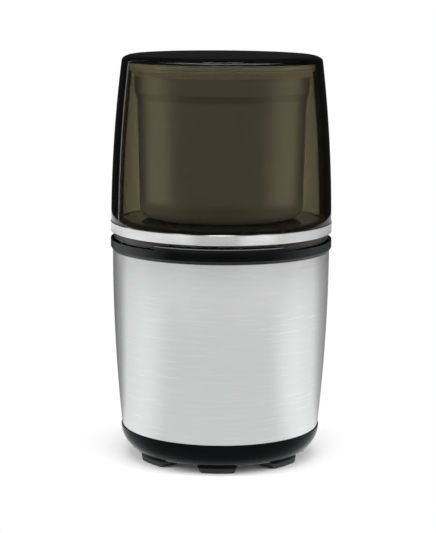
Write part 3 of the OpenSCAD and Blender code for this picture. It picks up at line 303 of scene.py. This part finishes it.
table("near_table", table_start, table_split, near_glow)
table("far_table", table_split, table_edge, far_glow)
card("table_edge", [(table_edge, card_lift), (sill_start, card_lift)], [
    (-150, 0.10), (-125, 0.50), (-108, 0.90), (-84, 0.90), (-50, 0.02), (50, 0.02),
    (84, 0.55), (108, 0.55), (125, 0.30), (150, 0.10)])
card("sill", [(sill_start, card_lift), (sill_end, card_lift)], [
    (-150, 0.8), (-80, 0.95), (-60, 1.20), (-34, 1.50), (-20, 0.96), (17, 0.96),
    (26, 1.42), (50, 1.50), (64, 1.0), (150, 0.5)])

# The room is dark but for one narrow pale strip on the left and the lamps overhead.
room_reach = 1.2
lamp_low, lamp_high, lamp_reach = 1.2, 1.7, 0.67
ceiling_top = 1.9
glint_out, glint_in, ceiling_eye = 0.38, 0.18, 0.01
unlit = [(-180, 0.02), (180, 0.02)]
card("room", [(sill_end, card_lift), (room_reach, card_lift), (room_reach, lamp_low)], [
    (-131.2, 0.02), (-130.4, 1.2), (-129.2, 1.2), (-128.4, 0.02), (-110, 0.03), (-80, 0.06),
    (80, 0.06), (110, 0.03), (130, 0.02)])
card("front_lamp", [(room_reach, lamp_low), (lamp_reach, lamp_high)], [
    (-95, 0.05), (-60, 2.6), (60, 2.6), (95, 0.05)])
card("ceiling", [(lamp_reach, lamp_high), (glint_out, ceiling_top)], unlit)
card("glint_lamp", [(glint_out, ceiling_top), (glint_in, ceiling_top)], [
    (-180, 2.2), (180, 2.2)])
card("ceiling_middle", [(glint_in, ceiling_top), (ceiling_eye, ceiling_top)], unlit)


# ---------------------------------------------------------------- base tub
# A black ABS moulding with a round lower edge, seven feet and air slots in its floor.
# It is polished outside, and its screw posts reach up inside the steel shell.
def dress(material, *nodes):
    """Gives carried-over pieces their finish."""
    for node in nodes:
        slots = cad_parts[node].data.materials
        slots.clear()
        slots.append(material)


neck_top = 4.2 * MM
neck_fade = 1.0 * MM
tub_round = 8.0 * MM
tub_fade = 4.0 * MM
glint_edge_fade = 0.25 * MM
polished_black = (0.0010, 0.0016, 0.0019)
# The matt grey is a painted reflection of the white floor on the tub's lower round.
matt_grey_painted_floor_light = (0.024, 0.025, 0.026)
# A painted highlight: the light grey of the housing lip's top edge.
painted_glint_grey = (0.16, 0.165, 0.16)
# A metre is further out, and further down, than any edge of the grinder.
nowhere = 1.0


def black_gloss(name, shine, matt_and_painted_light_below=-nowhere, glint_beyond=nowhere, glint_above=nowhere):
    """Polished black plastic with faint flow marks and fine dust scratches.

    Below the height it is given the mould is spark-eroded, so the plastic is matt; its colour is
    painted greyer there, a painted reflection of the floor.
    An edge beyond the radius and above the height given for it is painted light grey: a painted
    highlight line.
    """
    black = Finish(name)
    up = black.along(2)
    flow = black.noise(45, 3, stretch=(1, 1, 3))
    dust = black.noise(2600, 2)
    speckle = dust * 0.4 + 0.6
    # The matt mask also paints the colour greyer there: a painted floor reflection.
    matt = (matt_and_painted_light_below - up).past(0, tub_fade) * up.past(neck_top, neck_fade)
    # This mask paints a highlight line on an edge.
    worn = black.away().past(glint_beyond, glint_edge_fade) * up.past(glint_above, glint_edge_fade)
    clean = black.blend(flow, polished_black, tuple(1.6 * part for part in polished_black))
    glinted = black.blend(worn * speckle, clean, painted_glint_grey)
    return black.surface(
        Base_Color=black.blend(matt * speckle, glinted, matt_grey_painted_floor_light),
        Roughness=flow * 0.03 + dust * 0.02 + matt * 0.35 + 0.025,
        Specular_IOR_Level=shine,
        Normal=black.bump(flow * 0.9 + dust * 0.1, 0.003 * MM))


# The tub's matt lower round is painted greyer: a painted reflection of the floor.
dress(black_gloss("tub_plastic", shine=0.05, matt_and_painted_light_below=tub_round), "base_tub")


# ---------------------------------------------------------------- feet
# Soft dark grey rubber pads, each pressed into the sole of a moulded foot with a peg.
# They are matt, with the fine grain of the mould.
def rubber(name, tone, grain=0.02 * MM, matt=0.62):
    soft = Finish(name)
    fine = soft.noise(1500, 3, 0.6)
    worn = soft.noise(60, 3)
    return soft.surface(
        Base_Color=soft.blend(worn, tone, tuple(0.8 * part for part in tone)),
        Roughness=worn * 0.1 + fine * 0.1 + matt,
        Specular_IOR_Level=0.35,
        Normal=soft.bump(fine, grain))


dress(rubber("foot_rubber", (0.028, 0.029, 0.030)), "foot_pads")


# ---------------------------------------------------------------- steel shell
# A drawn stainless sleeve, gently barrelled, that stands on the tub and tucks up under
# the collar. It is brushed round and round, so light spreads up and down in tall bands.
turn_steps = 192
corner_steps = 7
crease = radians(32)
flat_weight = 90


def turned(name, corners, rounds=None, open_ends=False):
    """Spins a wire of (radius, height) corners, in metres, round the upright axis.

    rounds gives the radius of each rounded corner by its place in the list. A closed
    section makes a ring; with open_ends the wire runs from the axis to the axis.
    """
    bm = bmesh.new()
    spots = [bm.verts.new((radius, 0, height)) for radius, height in corners]
    for first, second in zip(spots, spots[1:]):
        bm.edges.new((first, second))
    if not open_ends:
        bm.edges.new((spots[-1], spots[0]))
    for place, radius in (rounds or {}).items():
        before, here, after = (Vector(corners[(place + way) % len(corners)])
                               for way in (-1, 0, 1))
        setback = radius / tan((before - here).angle(after - here) / 2)
        bmesh.ops.bevel(bm, geom=[spots[place]], offset=setback, offset_type="OFFSET",
                        affect="VERTICES", segments=corner_steps, profile=0.5, material=-1)
    bmesh.ops.spin(bm, geom=bm.verts[:] + bm.edges[:], cent=(0, 0, 0), axis=(0, 0, 1),
                   dvec=(0, 0, 0), angle=2 * pi, steps=turn_steps, use_merge=True,
                   use_duplicate=False)
    bmesh.ops.remove_doubles(bm, verts=bm.verts, dist=1e-6)
    bmesh.ops.recalc_face_normals(bm, faces=bm.faces)
    return finished(name, bm)


def finished(name, bm):
    """Turns a bmesh into a smooth piece that stays sharp where it creases."""
    mesh = bpy.data.meshes.new(name)
    bm.to_mesh(mesh)
    bm.free()
    for face in mesh.polygons:
        face.use_smooth = True
    mesh.set_sharp_from_angle(angle=crease)
    piece = bpy.data.objects.new(name, mesh)
    bpy.context.scene.collection.objects.link(piece)
    even = piece.modifiers.new("even_normals", "WEIGHTED_NORMAL")
    even.weight, even.keep_sharp = flat_weight, True
    return piece


def stand_in(piece, body, slot, material, *nodes):
    """The piece takes a finish and a body, and stands for the nodes that it repeats."""
    piece.data.materials.append(material)
    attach(piece, body)
    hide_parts(*nodes)
    return piece


def reach(node):
    """Outer radius, low and high end of a round node."""
    low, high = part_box(node)
    return max(high.x, -low.x, high.y, -low.y), low.z, high.z


def bowed(radius, top, bottom, curve, parts=28):
    """Side points of a gentle barrel from its top, where it is upright, down."""
    heights = [top + (bottom - top) * part / parts for part in range(parts + 1)]
    return [(radius - (top - height) ** 2 / (2 * curve), height) for height in heights]


# The near-white colour of the matt part is a painted highlight.
matt_steel_painted_light = (0.95, 0.95, 0.95)
matt_fade = 5.0 * MM


def brushed(name, dark, light, rough, lean, marks, matt_and_painted_light_below=-nowhere):
    """Steel brushed round the axis: long fine scratches at two scales, and a few scores.

    lean is how far the brushing spreads light up and down, and marks how deep it cuts. Below
    the height given for it the drawn radius was out of the brush's reach and is matt, and its
    colour is painted near white: a painted highlight.
    """
    steel = Finish(name)
    hair = steel.noise(1, 4, 0.7, stretch=(16, 16, 9000))
    band = steel.noise(1, 3, 0.6, stretch=(5, 5, 1500))
    smear = steel.noise(14, 2)
    score = steel.noise(1, 2, 0.5, stretch=(60, 60, 1600)).past(0.575, 0.125)
    scratch = hair * 0.6 + band * 0.4
    # The matt mask roughens the steel and paints its colour near white: a painted highlight.
    matt = (matt_and_painted_light_below - steel.along(2)).past(0, matt_fade)
    grain = steel.blend((scratch + score * 0.4).clamp(), dark, light)
    return steel.surface(
        Base_Color=steel.blend(matt, grain, matt_steel_painted_light),
        Metallic=1.0,
        Roughness=scratch * 0.12 + smear * 0.04 + matt * 0.5 + rough,
        Anisotropic=lean,
        Anisotropic_Rotation=0.25,
        Normal=steel.bump(scratch, 0.004 * MM * marks))


shell_curve = 0.870
shell_sheet = 0.6 * MM
shell_r, shell_low, shell_top = reach("steel_shell")
shell_side = bowed(shell_r, shell_top, shell_low, shell_curve)
steel_shell = turned("steel_sleeve", shell_side + [
    (radius - shell_sheet, height) for radius, height in reversed(shell_side)])
shell_steel = brushed("shell_steel", (0.70, 0.705, 0.71), (0.82, 0.82, 0.825),
                      rough=0.12, lean=0.70, marks=0.4)
stand_in(steel_shell, "base", "brushed_steel", shell_steel, "steel_shell")


# ---------------------------------------------------------------- screws and springs
# Zinc-plated screws hold the tub, the housing, the motor and the clamp together; the
# springs behind the brushes and round the push rod are bright wire.
def plated(name, dark, light, rough=0.28):
    """Plated or plain machined metal with faint cloudy stains and turning marks."""
    metal = Finish(name)
    cloud = metal.noise(220, 3)
    marks = metal.noise(1, 3, 0.6, stretch=(900, 900, 5000))
    return metal.surface(
        Base_Color=metal.blend(cloud, dark, light),
        Metallic=1.0,
        Roughness=cloud * 0.12 + marks * 0.08 + rough,
        Normal=metal.bump(marks, 0.006 * MM))


dress(plated("zinc_plate", (0.50, 0.51, 0.53), (0.72, 0.73, 0.75)),
      "body_screws", "clamp_screws", "mount_screws", "carrier_screws", "bowl_screws",
      "motor_screws")
spring_wire = plated("spring_wire", (0.42, 0.42, 0.44), (0.66, 0.66, 0.68), 0.2)
dress(spring_wire, "brush_springs", "spindle_clip")


# ---------------------------------------------------------------- cord inlet
# A square rubber gland in the tub's rear wall, with a clamp bar behind it that two
# screws pull down on to the cord.
dress(rubber("gland_rubber", (0.016, 0.016, 0.017), grain=0.012 * MM, matt=0.5), "cord_gland")


def moulded(name, tone, second=None, grain=900, matt=0.42):
    """Plain moulded plastic: a soft cloudy tone and a fine spark-eroded grain."""
    plastic = Finish(name)
    cloud = plastic.noise(90, 3)
    fine = plastic.noise(grain, 3, 0.6)
    return plastic.surface(
        Base_Color=plastic.blend(cloud, tone, second or tuple(0.8 * part for part in tone)),
        Roughness=cloud * 0.08 + fine * 0.1 + matt,
        Specular_IOR_Level=0.4,
        Normal=plastic.bump(fine, 0.015 * MM))


dress(moulded("clamp_nylon", (0.020, 0.020, 0.021)), "cord_clamp")


# ---------------------------------------------------------------- wiring on the floor
# A cream terminal block, a yellow film capacitor that quiets the brushes, and a thermal
# fuse under a coil.
dress(moulded("terminal_cream", (0.72, 0.68, 0.55), (0.62, 0.58, 0.46)), "terminal_block")
dress(moulded("capacitor_yellow", (0.62, 0.40, 0.04), (0.54, 0.33, 0.03), grain=300, matt=0.3),
      "capacitor")
dress(moulded("fuse_ceramic", (0.74, 0.73, 0.68), (0.66, 0.65, 0.60), grain=600, matt=0.5),
      "thermal_fuse")


# ---------------------------------------------------------------- motor
# A series motor hung from the housing on three rubber mounts: laminated core, two field
# coils, cast brackets with sealed bearings, carbon brushes in brass holders, and a rotor
# with its stack, windings, commutator and fan on one shaft.
sheet_pitch = 0.987 * MM
wire_pitch = 0.684 * MM
# A wave texture's upright bands turn 20 radians to a unit of length, and its diagonal
# ones 10 along each of the three axes.
band_turn, slant_turn = 20, 10 * sqrt(3)


def laminated(name, pitch):
    """Stacked core sheets with a thin dark joint at every pitch up the stack."""
    core = Finish(name)
    sheets = core.node("ShaderNodeTexWave", {"bands_direction": "Z"}, {
        "Vector": core.place(), "Scale": 2 * pi / (band_turn * pitch), "Distortion": 0.4}, output=1)
    rust = core.noise(260, 4)
    return core.surface(
        Base_Color=core.blend(sheets * 0.7 + rust * 0.3, (0.10, 0.10, 0.105),
                              (0.30, 0.30, 0.31)),
        Metallic=0.8,
        Roughness=rust * 0.2 + 0.4,
        Normal=core.bump(sheets, 0.05 * MM))


def wound(name, enamel, shade, pitch):
    """Enamelled winding wire laid side by side, seen as close round ridges."""
    coil = Finish(name)
    strands = coil.node("ShaderNodeTexWave", {"bands_direction": "DIAGONAL"}, {
        "Vector": coil.place(), "Scale": 2 * pi / (slant_turn * pitch), "Distortion": 1.5,
        "Detail": 2}, output=1)
    cloud = coil.noise(180, 3)
    return coil.surface(
        Base_Color=coil.blend(strands, shade, enamel),
        Metallic=0.55,
        Roughness=cloud * 0.15 + 0.28,
        Coat_Weight=0.4,
        Normal=coil.bump(strands, 0.12 * MM))


dress(laminated("core_sheets", sheet_pitch), "stator_core", "armature_core")
dress(wound("copper_winding", (0.62, 0.24, 0.09), (0.22, 0.07, 0.03), wire_pitch),
      "field_coils", "armature_windings")
dress(plated("cast_alloy", (0.46, 0.47, 0.48), (0.58, 0.59, 0.60), 0.42),
      "upper_bracket", "lower_bracket")
dress(plated("bearing_steel", (0.60, 0.60, 0.62), (0.76, 0.76, 0.78), 0.16),
      "upper_bearing", "lower_bearing")
shaft_steel = plated("ground_shaft", (0.55, 0.55, 0.57), (0.70, 0.70, 0.72), 0.18)
dress(shaft_steel, "motor_shaft")
dress(rubber("mount_rubber", (0.018, 0.018, 0.018)), "motor_mounts", "lower_mount")
dress(plated("holder_brass", (0.55, 0.38, 0.13), (0.74, 0.54, 0.22), 0.26), "brush_holders")
dress(moulded("brush_carbon", (0.030, 0.030, 0.032), (0.055, 0.055, 0.058), grain=1800, matt=0.5),
      "carbon_brushes")
dress(moulded("cap_phenolic", (0.030, 0.018, 0.012)), "brush_caps")
dress(plated("commutator_copper", (0.55, 0.26, 0.12), (0.70, 0.36, 0.18), 0.22),
      "commutator")
dress(moulded("fan_nylon", (0.045, 0.11, 0.20), (0.035, 0.09, 0.17)), "cooling_fan")
dress(moulded("slinger_nylon", (0.028, 0.028, 0.028)), "shaft_slinger")


# ---------------------------------------------------------------- top housing
# One black ABS moulding: the collar that grips the shell, the groove that the lid stands
# in, the raised deck, and the well with the roof that locks the bowl down.
# A thin band at the top of the raised front of the groove's outer lip is painted light grey: a
# painted highlight.
lip_width = 0.8 * MM
ring_gap = 1.8 * MM
glint_depth = 0.4 * MM
lip_r = reach("top_housing")[0] - lip_width
glint_bottom = reach("lid_trim_ring")[1] - ring_gap - glint_depth
dress(black_gloss("housing_plastic", shine=0.35, glint_beyond=lip_r, glint_above=glint_bottom),
      "top_housing")


# ---------------------------------------------------------------- switch
# A white push rod that the lid presses down, the spring that lifts it, the lever and the
# microswitch it works, and the nylon carrier that guides them.
dress(moulded("rod_acetal", (0.78, 0.78, 0.75), (0.70, 0.70, 0.67), grain=700, matt=0.34),
      "push_rod")
dress(moulded("carrier_nylon", (0.035, 0.035, 0.036)), "switch_carrier")
dress(moulded("switch_phenolic", (0.020, 0.019, 0.019), (0.030, 0.028, 0.027), grain=500,
              matt=0.3), "microswitch")
dress(plated("lever_nickel", (0.60, 0.58, 0.54), (0.74, 0.72, 0.68), 0.2), "switch_lever")

wire_r = 0.22 * MM
wire_sides = 10
coil_turns = 4
coil_steps = 24
coil_low, coil_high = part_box("rod_spring")
coil_middle = (coil_low + coil_high) / 2
coil_height = coil_high.z - coil_low.z
coil_r = (coil_high.x - coil_low.x) / 2 - wire_r
coil_rise = (coil_height - 2 * wire_r) / (coil_turns * coil_steps)
coil = bmesh.new()
bmesh.ops.create_circle(
    coil, cap_ends=True, segments=wire_sides, radius=wire_r,
    matrix=Matrix.Translation((coil_middle.x + coil_r, coil_middle.y, coil_low.z + wire_r))
    @ Matrix.Rotation(pi / 2, 4, "X"))
bmesh.ops.spin(
    coil, geom=coil.verts[:] + coil.edges[:] + coil.faces[:], axis=(0, 0, 1),
    cent=(coil_middle.x, coil_middle.y, 0), dvec=(0, 0, coil_rise),
    angle=2 * pi * coil_turns, steps=coil_turns * coil_steps, use_duplicate=False)
bmesh.ops.remove_doubles(coil, verts=coil.verts, dist=1e-7)
bmesh.ops.holes_fill(coil, edges=coil.edges, sides=wire_sides)
bmesh.ops.recalc_face_normals(coil, faces=coil.faces)
rod_coil = stand_in(finished("rod_coil", coil), "base", "spring_steel", spring_wire, "rod_spring")
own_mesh(rod_coil)


# ---------------------------------------------------------------- dog coupling
# Glass-filled nylon halves: three dogs on the motor shaft drive three dogs under the
# bowl, with enough play between them for the bowl to be turned in its lock.
dress(moulded("coupling_nylon", (0.030, 0.030, 0.032), (0.050, 0.050, 0.052), grain=1200),
      "drive_coupling", "driven_coupling")


# ---------------------------------------------------------------- bowl
# A drawn stainless cup with a wide band under its rim, polished by a turning brush, on a
# black base whose three lugs turn under the housing's roof. It stands on a rubber ring.
dress(rubber("seat_rubber", (0.022, 0.022, 0.022)), "bowl_seat_ring")
dress(moulded("base_nylon", (0.016, 0.017, 0.018)), "bowl_base")

bowl_sheet = 0.8 * MM
rim_band = 8.6 * MM
rim_slope = 3.4 * MM
waist_inset = 1.4 * MM
bowl_taper = 1.4 * MM
bowl_round = 4.5 * MM
slope_round = 2.0 * MM
band_round = 1.5 * MM
rim_round = 0.3 * MM
tube_hole = 8.05 * MM
matt_rise = 10 * MM
rim_r, bowl_foot, bowl_rim = reach("bowl_cup")
waist_r = rim_r - waist_inset
low_r = waist_r - bowl_taper
band_low = bowl_rim - rim_band
slope_low = band_low - rim_slope
bowl_cup = turned("steel_bowl", [
    (tube_hole, bowl_foot), (low_r, bowl_foot), (waist_r, slope_low),
    (rim_r, band_low), (rim_r, bowl_rim),
    (rim_r - bowl_sheet, bowl_rim), (rim_r - bowl_sheet, band_low),
    (waist_r - bowl_sheet, slope_low), (low_r - bowl_sheet, bowl_foot + bowl_sheet),
    (tube_hole, bowl_foot + bowl_sheet)],
    {1: bowl_round, 2: slope_round, 3: band_round, 4: rim_round, 5: rim_round,
     6: band_round, 7: slope_round, 8: bowl_round - bowl_sheet})
# The bowl's matt lower part is painted near white: a painted highlight on its lower round.
bowl_steel = brushed("bowl_steel", (0.64, 0.64, 0.64), (0.74, 0.74, 0.74),
                     rough=0.30, lean=0.6, marks=0.4, matt_and_painted_light_below=bowl_foot + matt_rise)
stand_in(bowl_cup, "bowl", "bowl_steel", bowl_steel, "bowl_cup")


# ---------------------------------------------------------------- blade
# A cranked stainless blade on a spindle that runs in two bronze bushes. A washer and a
# nut hold it, and a lip seal keeps the ground spice out of the bushes.
dress(plated("blade_steel", (0.66, 0.66, 0.67), (0.80, 0.80, 0.81), 0.20),
      "blade", "blade_washer", "blade_nut")
dress(shaft_steel, "blade_spindle")
dress(moulded("housing_nylon", (0.020, 0.020, 0.021)), "spindle_housing")
dress(plated("bronze_bush", (0.42, 0.27, 0.10), (0.58, 0.40, 0.17), 0.36), "spindle_bushes")
dress(rubber("seal_silicone", (0.30, 0.05, 0.03)), "spindle_seal")


# ---------------------------------------------------------------- gasket
# A soft clear-grey ring that grips the bowl's rim. The lid's two ribs slide down round
# it, so the bowl stays shut at any height of the lid.
gasket = Finish("gasket_silicone")
gasket_cloud = gasket.noise(120, 3)
dress(gasket.surface(
    Base_Color=gasket.blend(gasket_cloud, (0.84, 0.83, 0.80), (0.90, 0.89, 0.86)),
    Roughness=gasket_cloud * 0.1 + 0.32,
    Subsurface_Weight=0.15,
    Subsurface_Scale=2 * MM,
    Normal=gasket.bump(gasket.noise(1400, 2), 0.01 * MM)), "bowl_gasket")


# ---------------------------------------------------------------- lid
# A thick smoked see-through moulding with a crowned top and a round upper edge. Two pale
# ribs under its top run round the bowl's rim, and its skirt stands in the housing's groove.
lid_wall = 2.6 * MM
lid_top = 3.0 * MM
lid_round = 6.4 * MM
lid_crown = 1.0 * MM
lid_inset = 0.2 * MM
lid_margin = 1.1 * MM
lid_corner = 1.0 * MM
corner_room = 2.0 * MM
lid_parts = 30
rib_wall = 1.2 * MM
gasket_slack = 0.2 * MM
skirt_inset = 1.1 * MM
skirt_wall = 2.4 * MM
skirt_step = 0.4 * MM
step_height = 4.6 * MM
step_slope = 0.3 * MM
ring_sheet = 0.8 * MM
ring_clear = 0.05 * MM

ring_r, ring_low, ring_high = reach("lid_trim_ring")
lid_low, lid_high = reach("lid_shell")[1:]
lid_edge = lid_high - lid_crown
lid_ceiling = lid_edge - lid_top
gasket_out = reach("bowl_gasket")[0]
lid_top_r = gasket_out + gasket_slack + rib_wall + lid_margin + lid_wall
lid_curve = (lid_ceiling - ring_low) ** 2 / (2 * (ring_r - lid_inset - lid_top_r))
skirt_r = ring_r - skirt_inset
ring_seat = ring_r - ring_sheet


def lid_side(height):
    """Radius of the lid's side, which is upright at the trim ring's lower edge."""
    return ring_r - lid_inset - (height - ring_low) ** 2 / (2 * lid_curve)


rise = [ring_high + (lid_edge - ring_high) * part / lid_parts for part in range(lid_parts + 1)]
outside = [(lid_side(height), height) for height in rise]
inside = [(lid_side(height) - lid_wall, height)
          for height in reversed(rise[1:]) if height < lid_ceiling - corner_room]
lid_wire = ([(0, lid_ceiling), (lid_side(lid_ceiling) - lid_wall, lid_ceiling)] + inside
            + [(skirt_r - skirt_wall, lid_low), (skirt_r - skirt_step, lid_low),
               (skirt_r - skirt_step, lid_low + step_height - step_slope),
               (skirt_r, lid_low + step_height), (skirt_r, ring_low - ring_clear),
               (ring_seat, ring_low - ring_clear), (ring_seat, ring_high)]
            + outside + [(0, lid_high)])
inner_corner, upper_corner = 1, len(lid_wire) - 2
lid_shell = turned("smoked_lid", lid_wire, {
    upper_corner: lid_round, inner_corner: lid_corner}, open_ends=True)

# Where a wall is seen edge-on, the lid's colour is painted black: painted shade for its dark edges.
smoke_tint = (0.43, 0.39, 0.25)
smoke_density = 620
painted_edge_shade = (0.006, 0.006, 0.004)
edge_on, edge_fade = 0.62, 0.04
smoke = Finish("smoked_clear")
haze = smoke.noise(35, 3)
facing = smoke.node("ShaderNodeLayerWeight", None, {"Blend": 0.5}, output="Facing")
stand_in(lid_shell, "lid", "smoked_clear", smoke.surface(
    # The base colour is painted black where the wall is seen edge-on: painted shade.
    Base_Color=smoke.blend(facing.past(edge_on, edge_fade), (1, 1, 1), painted_edge_shade),
    Roughness=haze * 0.02 + 0.02,
    Transmission_Weight=1.0,
    IOR=1.49,
    Normal=smoke.bump(haze, 0.006 * MM),
    volume=smoke.node("ShaderNodeVolumeAbsorption", None, {
        "Color": (*smoke_tint, 1), "Density": smoke_density})), "lid_shell")

# The ribs' mould left three fine grooves round them, at these depths under the lid's roof.
groove_drops = (1.0 * MM, 3.0 * MM, 5.0 * MM)
groove_half = 0.325 * MM
groove_fade = 0.25 * MM
groove_depth = 0.1 * MM
ribs = Finish("rib_plastic")
rib_cloud = ribs.noise(90, 3)
rib_tone = ribs.blend(rib_cloud, (0.93, 0.92, 0.89), (0.88, 0.87, 0.84))
below = [ribs.along(2) - (lid_ceiling - drop) for drop in groove_drops]
# The grooves are also painted dark: painted shade in them.
groove_and_shade = sum((groove_half - gap.maths("ABSOLUTE", gap)).past(0, groove_fade) for gap in below)
dress(ribs.surface(
    Base_Color=ribs.blend(groove_and_shade * 0.4, rib_tone, (0.10, 0.09, 0.07)),
    Roughness=rib_cloud * 0.1 + 0.2,
    Normal=ribs.bump(groove_and_shade, -groove_depth)), "lid_ribs")


# ---------------------------------------------------------------- trim ring
# A bright flat steel band pressed round the lid's foot. Its lower edge is rounded over
# and its upper edge is bevelled, and both catch the light.
edge_round = 0.3 * MM
edge_flat = 0.5 * MM
trim_ring = turned("bright_band", [
    (ring_seat, ring_low), (ring_r, ring_low), (ring_r, ring_high - edge_flat),
    (ring_r - edge_flat, ring_high), (ring_seat, ring_high)], {1: edge_round})
trim_steel = brushed("trim_steel", (0.84, 0.845, 0.85), (0.94, 0.94, 0.94),
                     rough=0.03, lean=0.3, marks=0.15)
stand_in(trim_ring, "lid", "polished_steel", trim_steel, "lid_trim_ring")
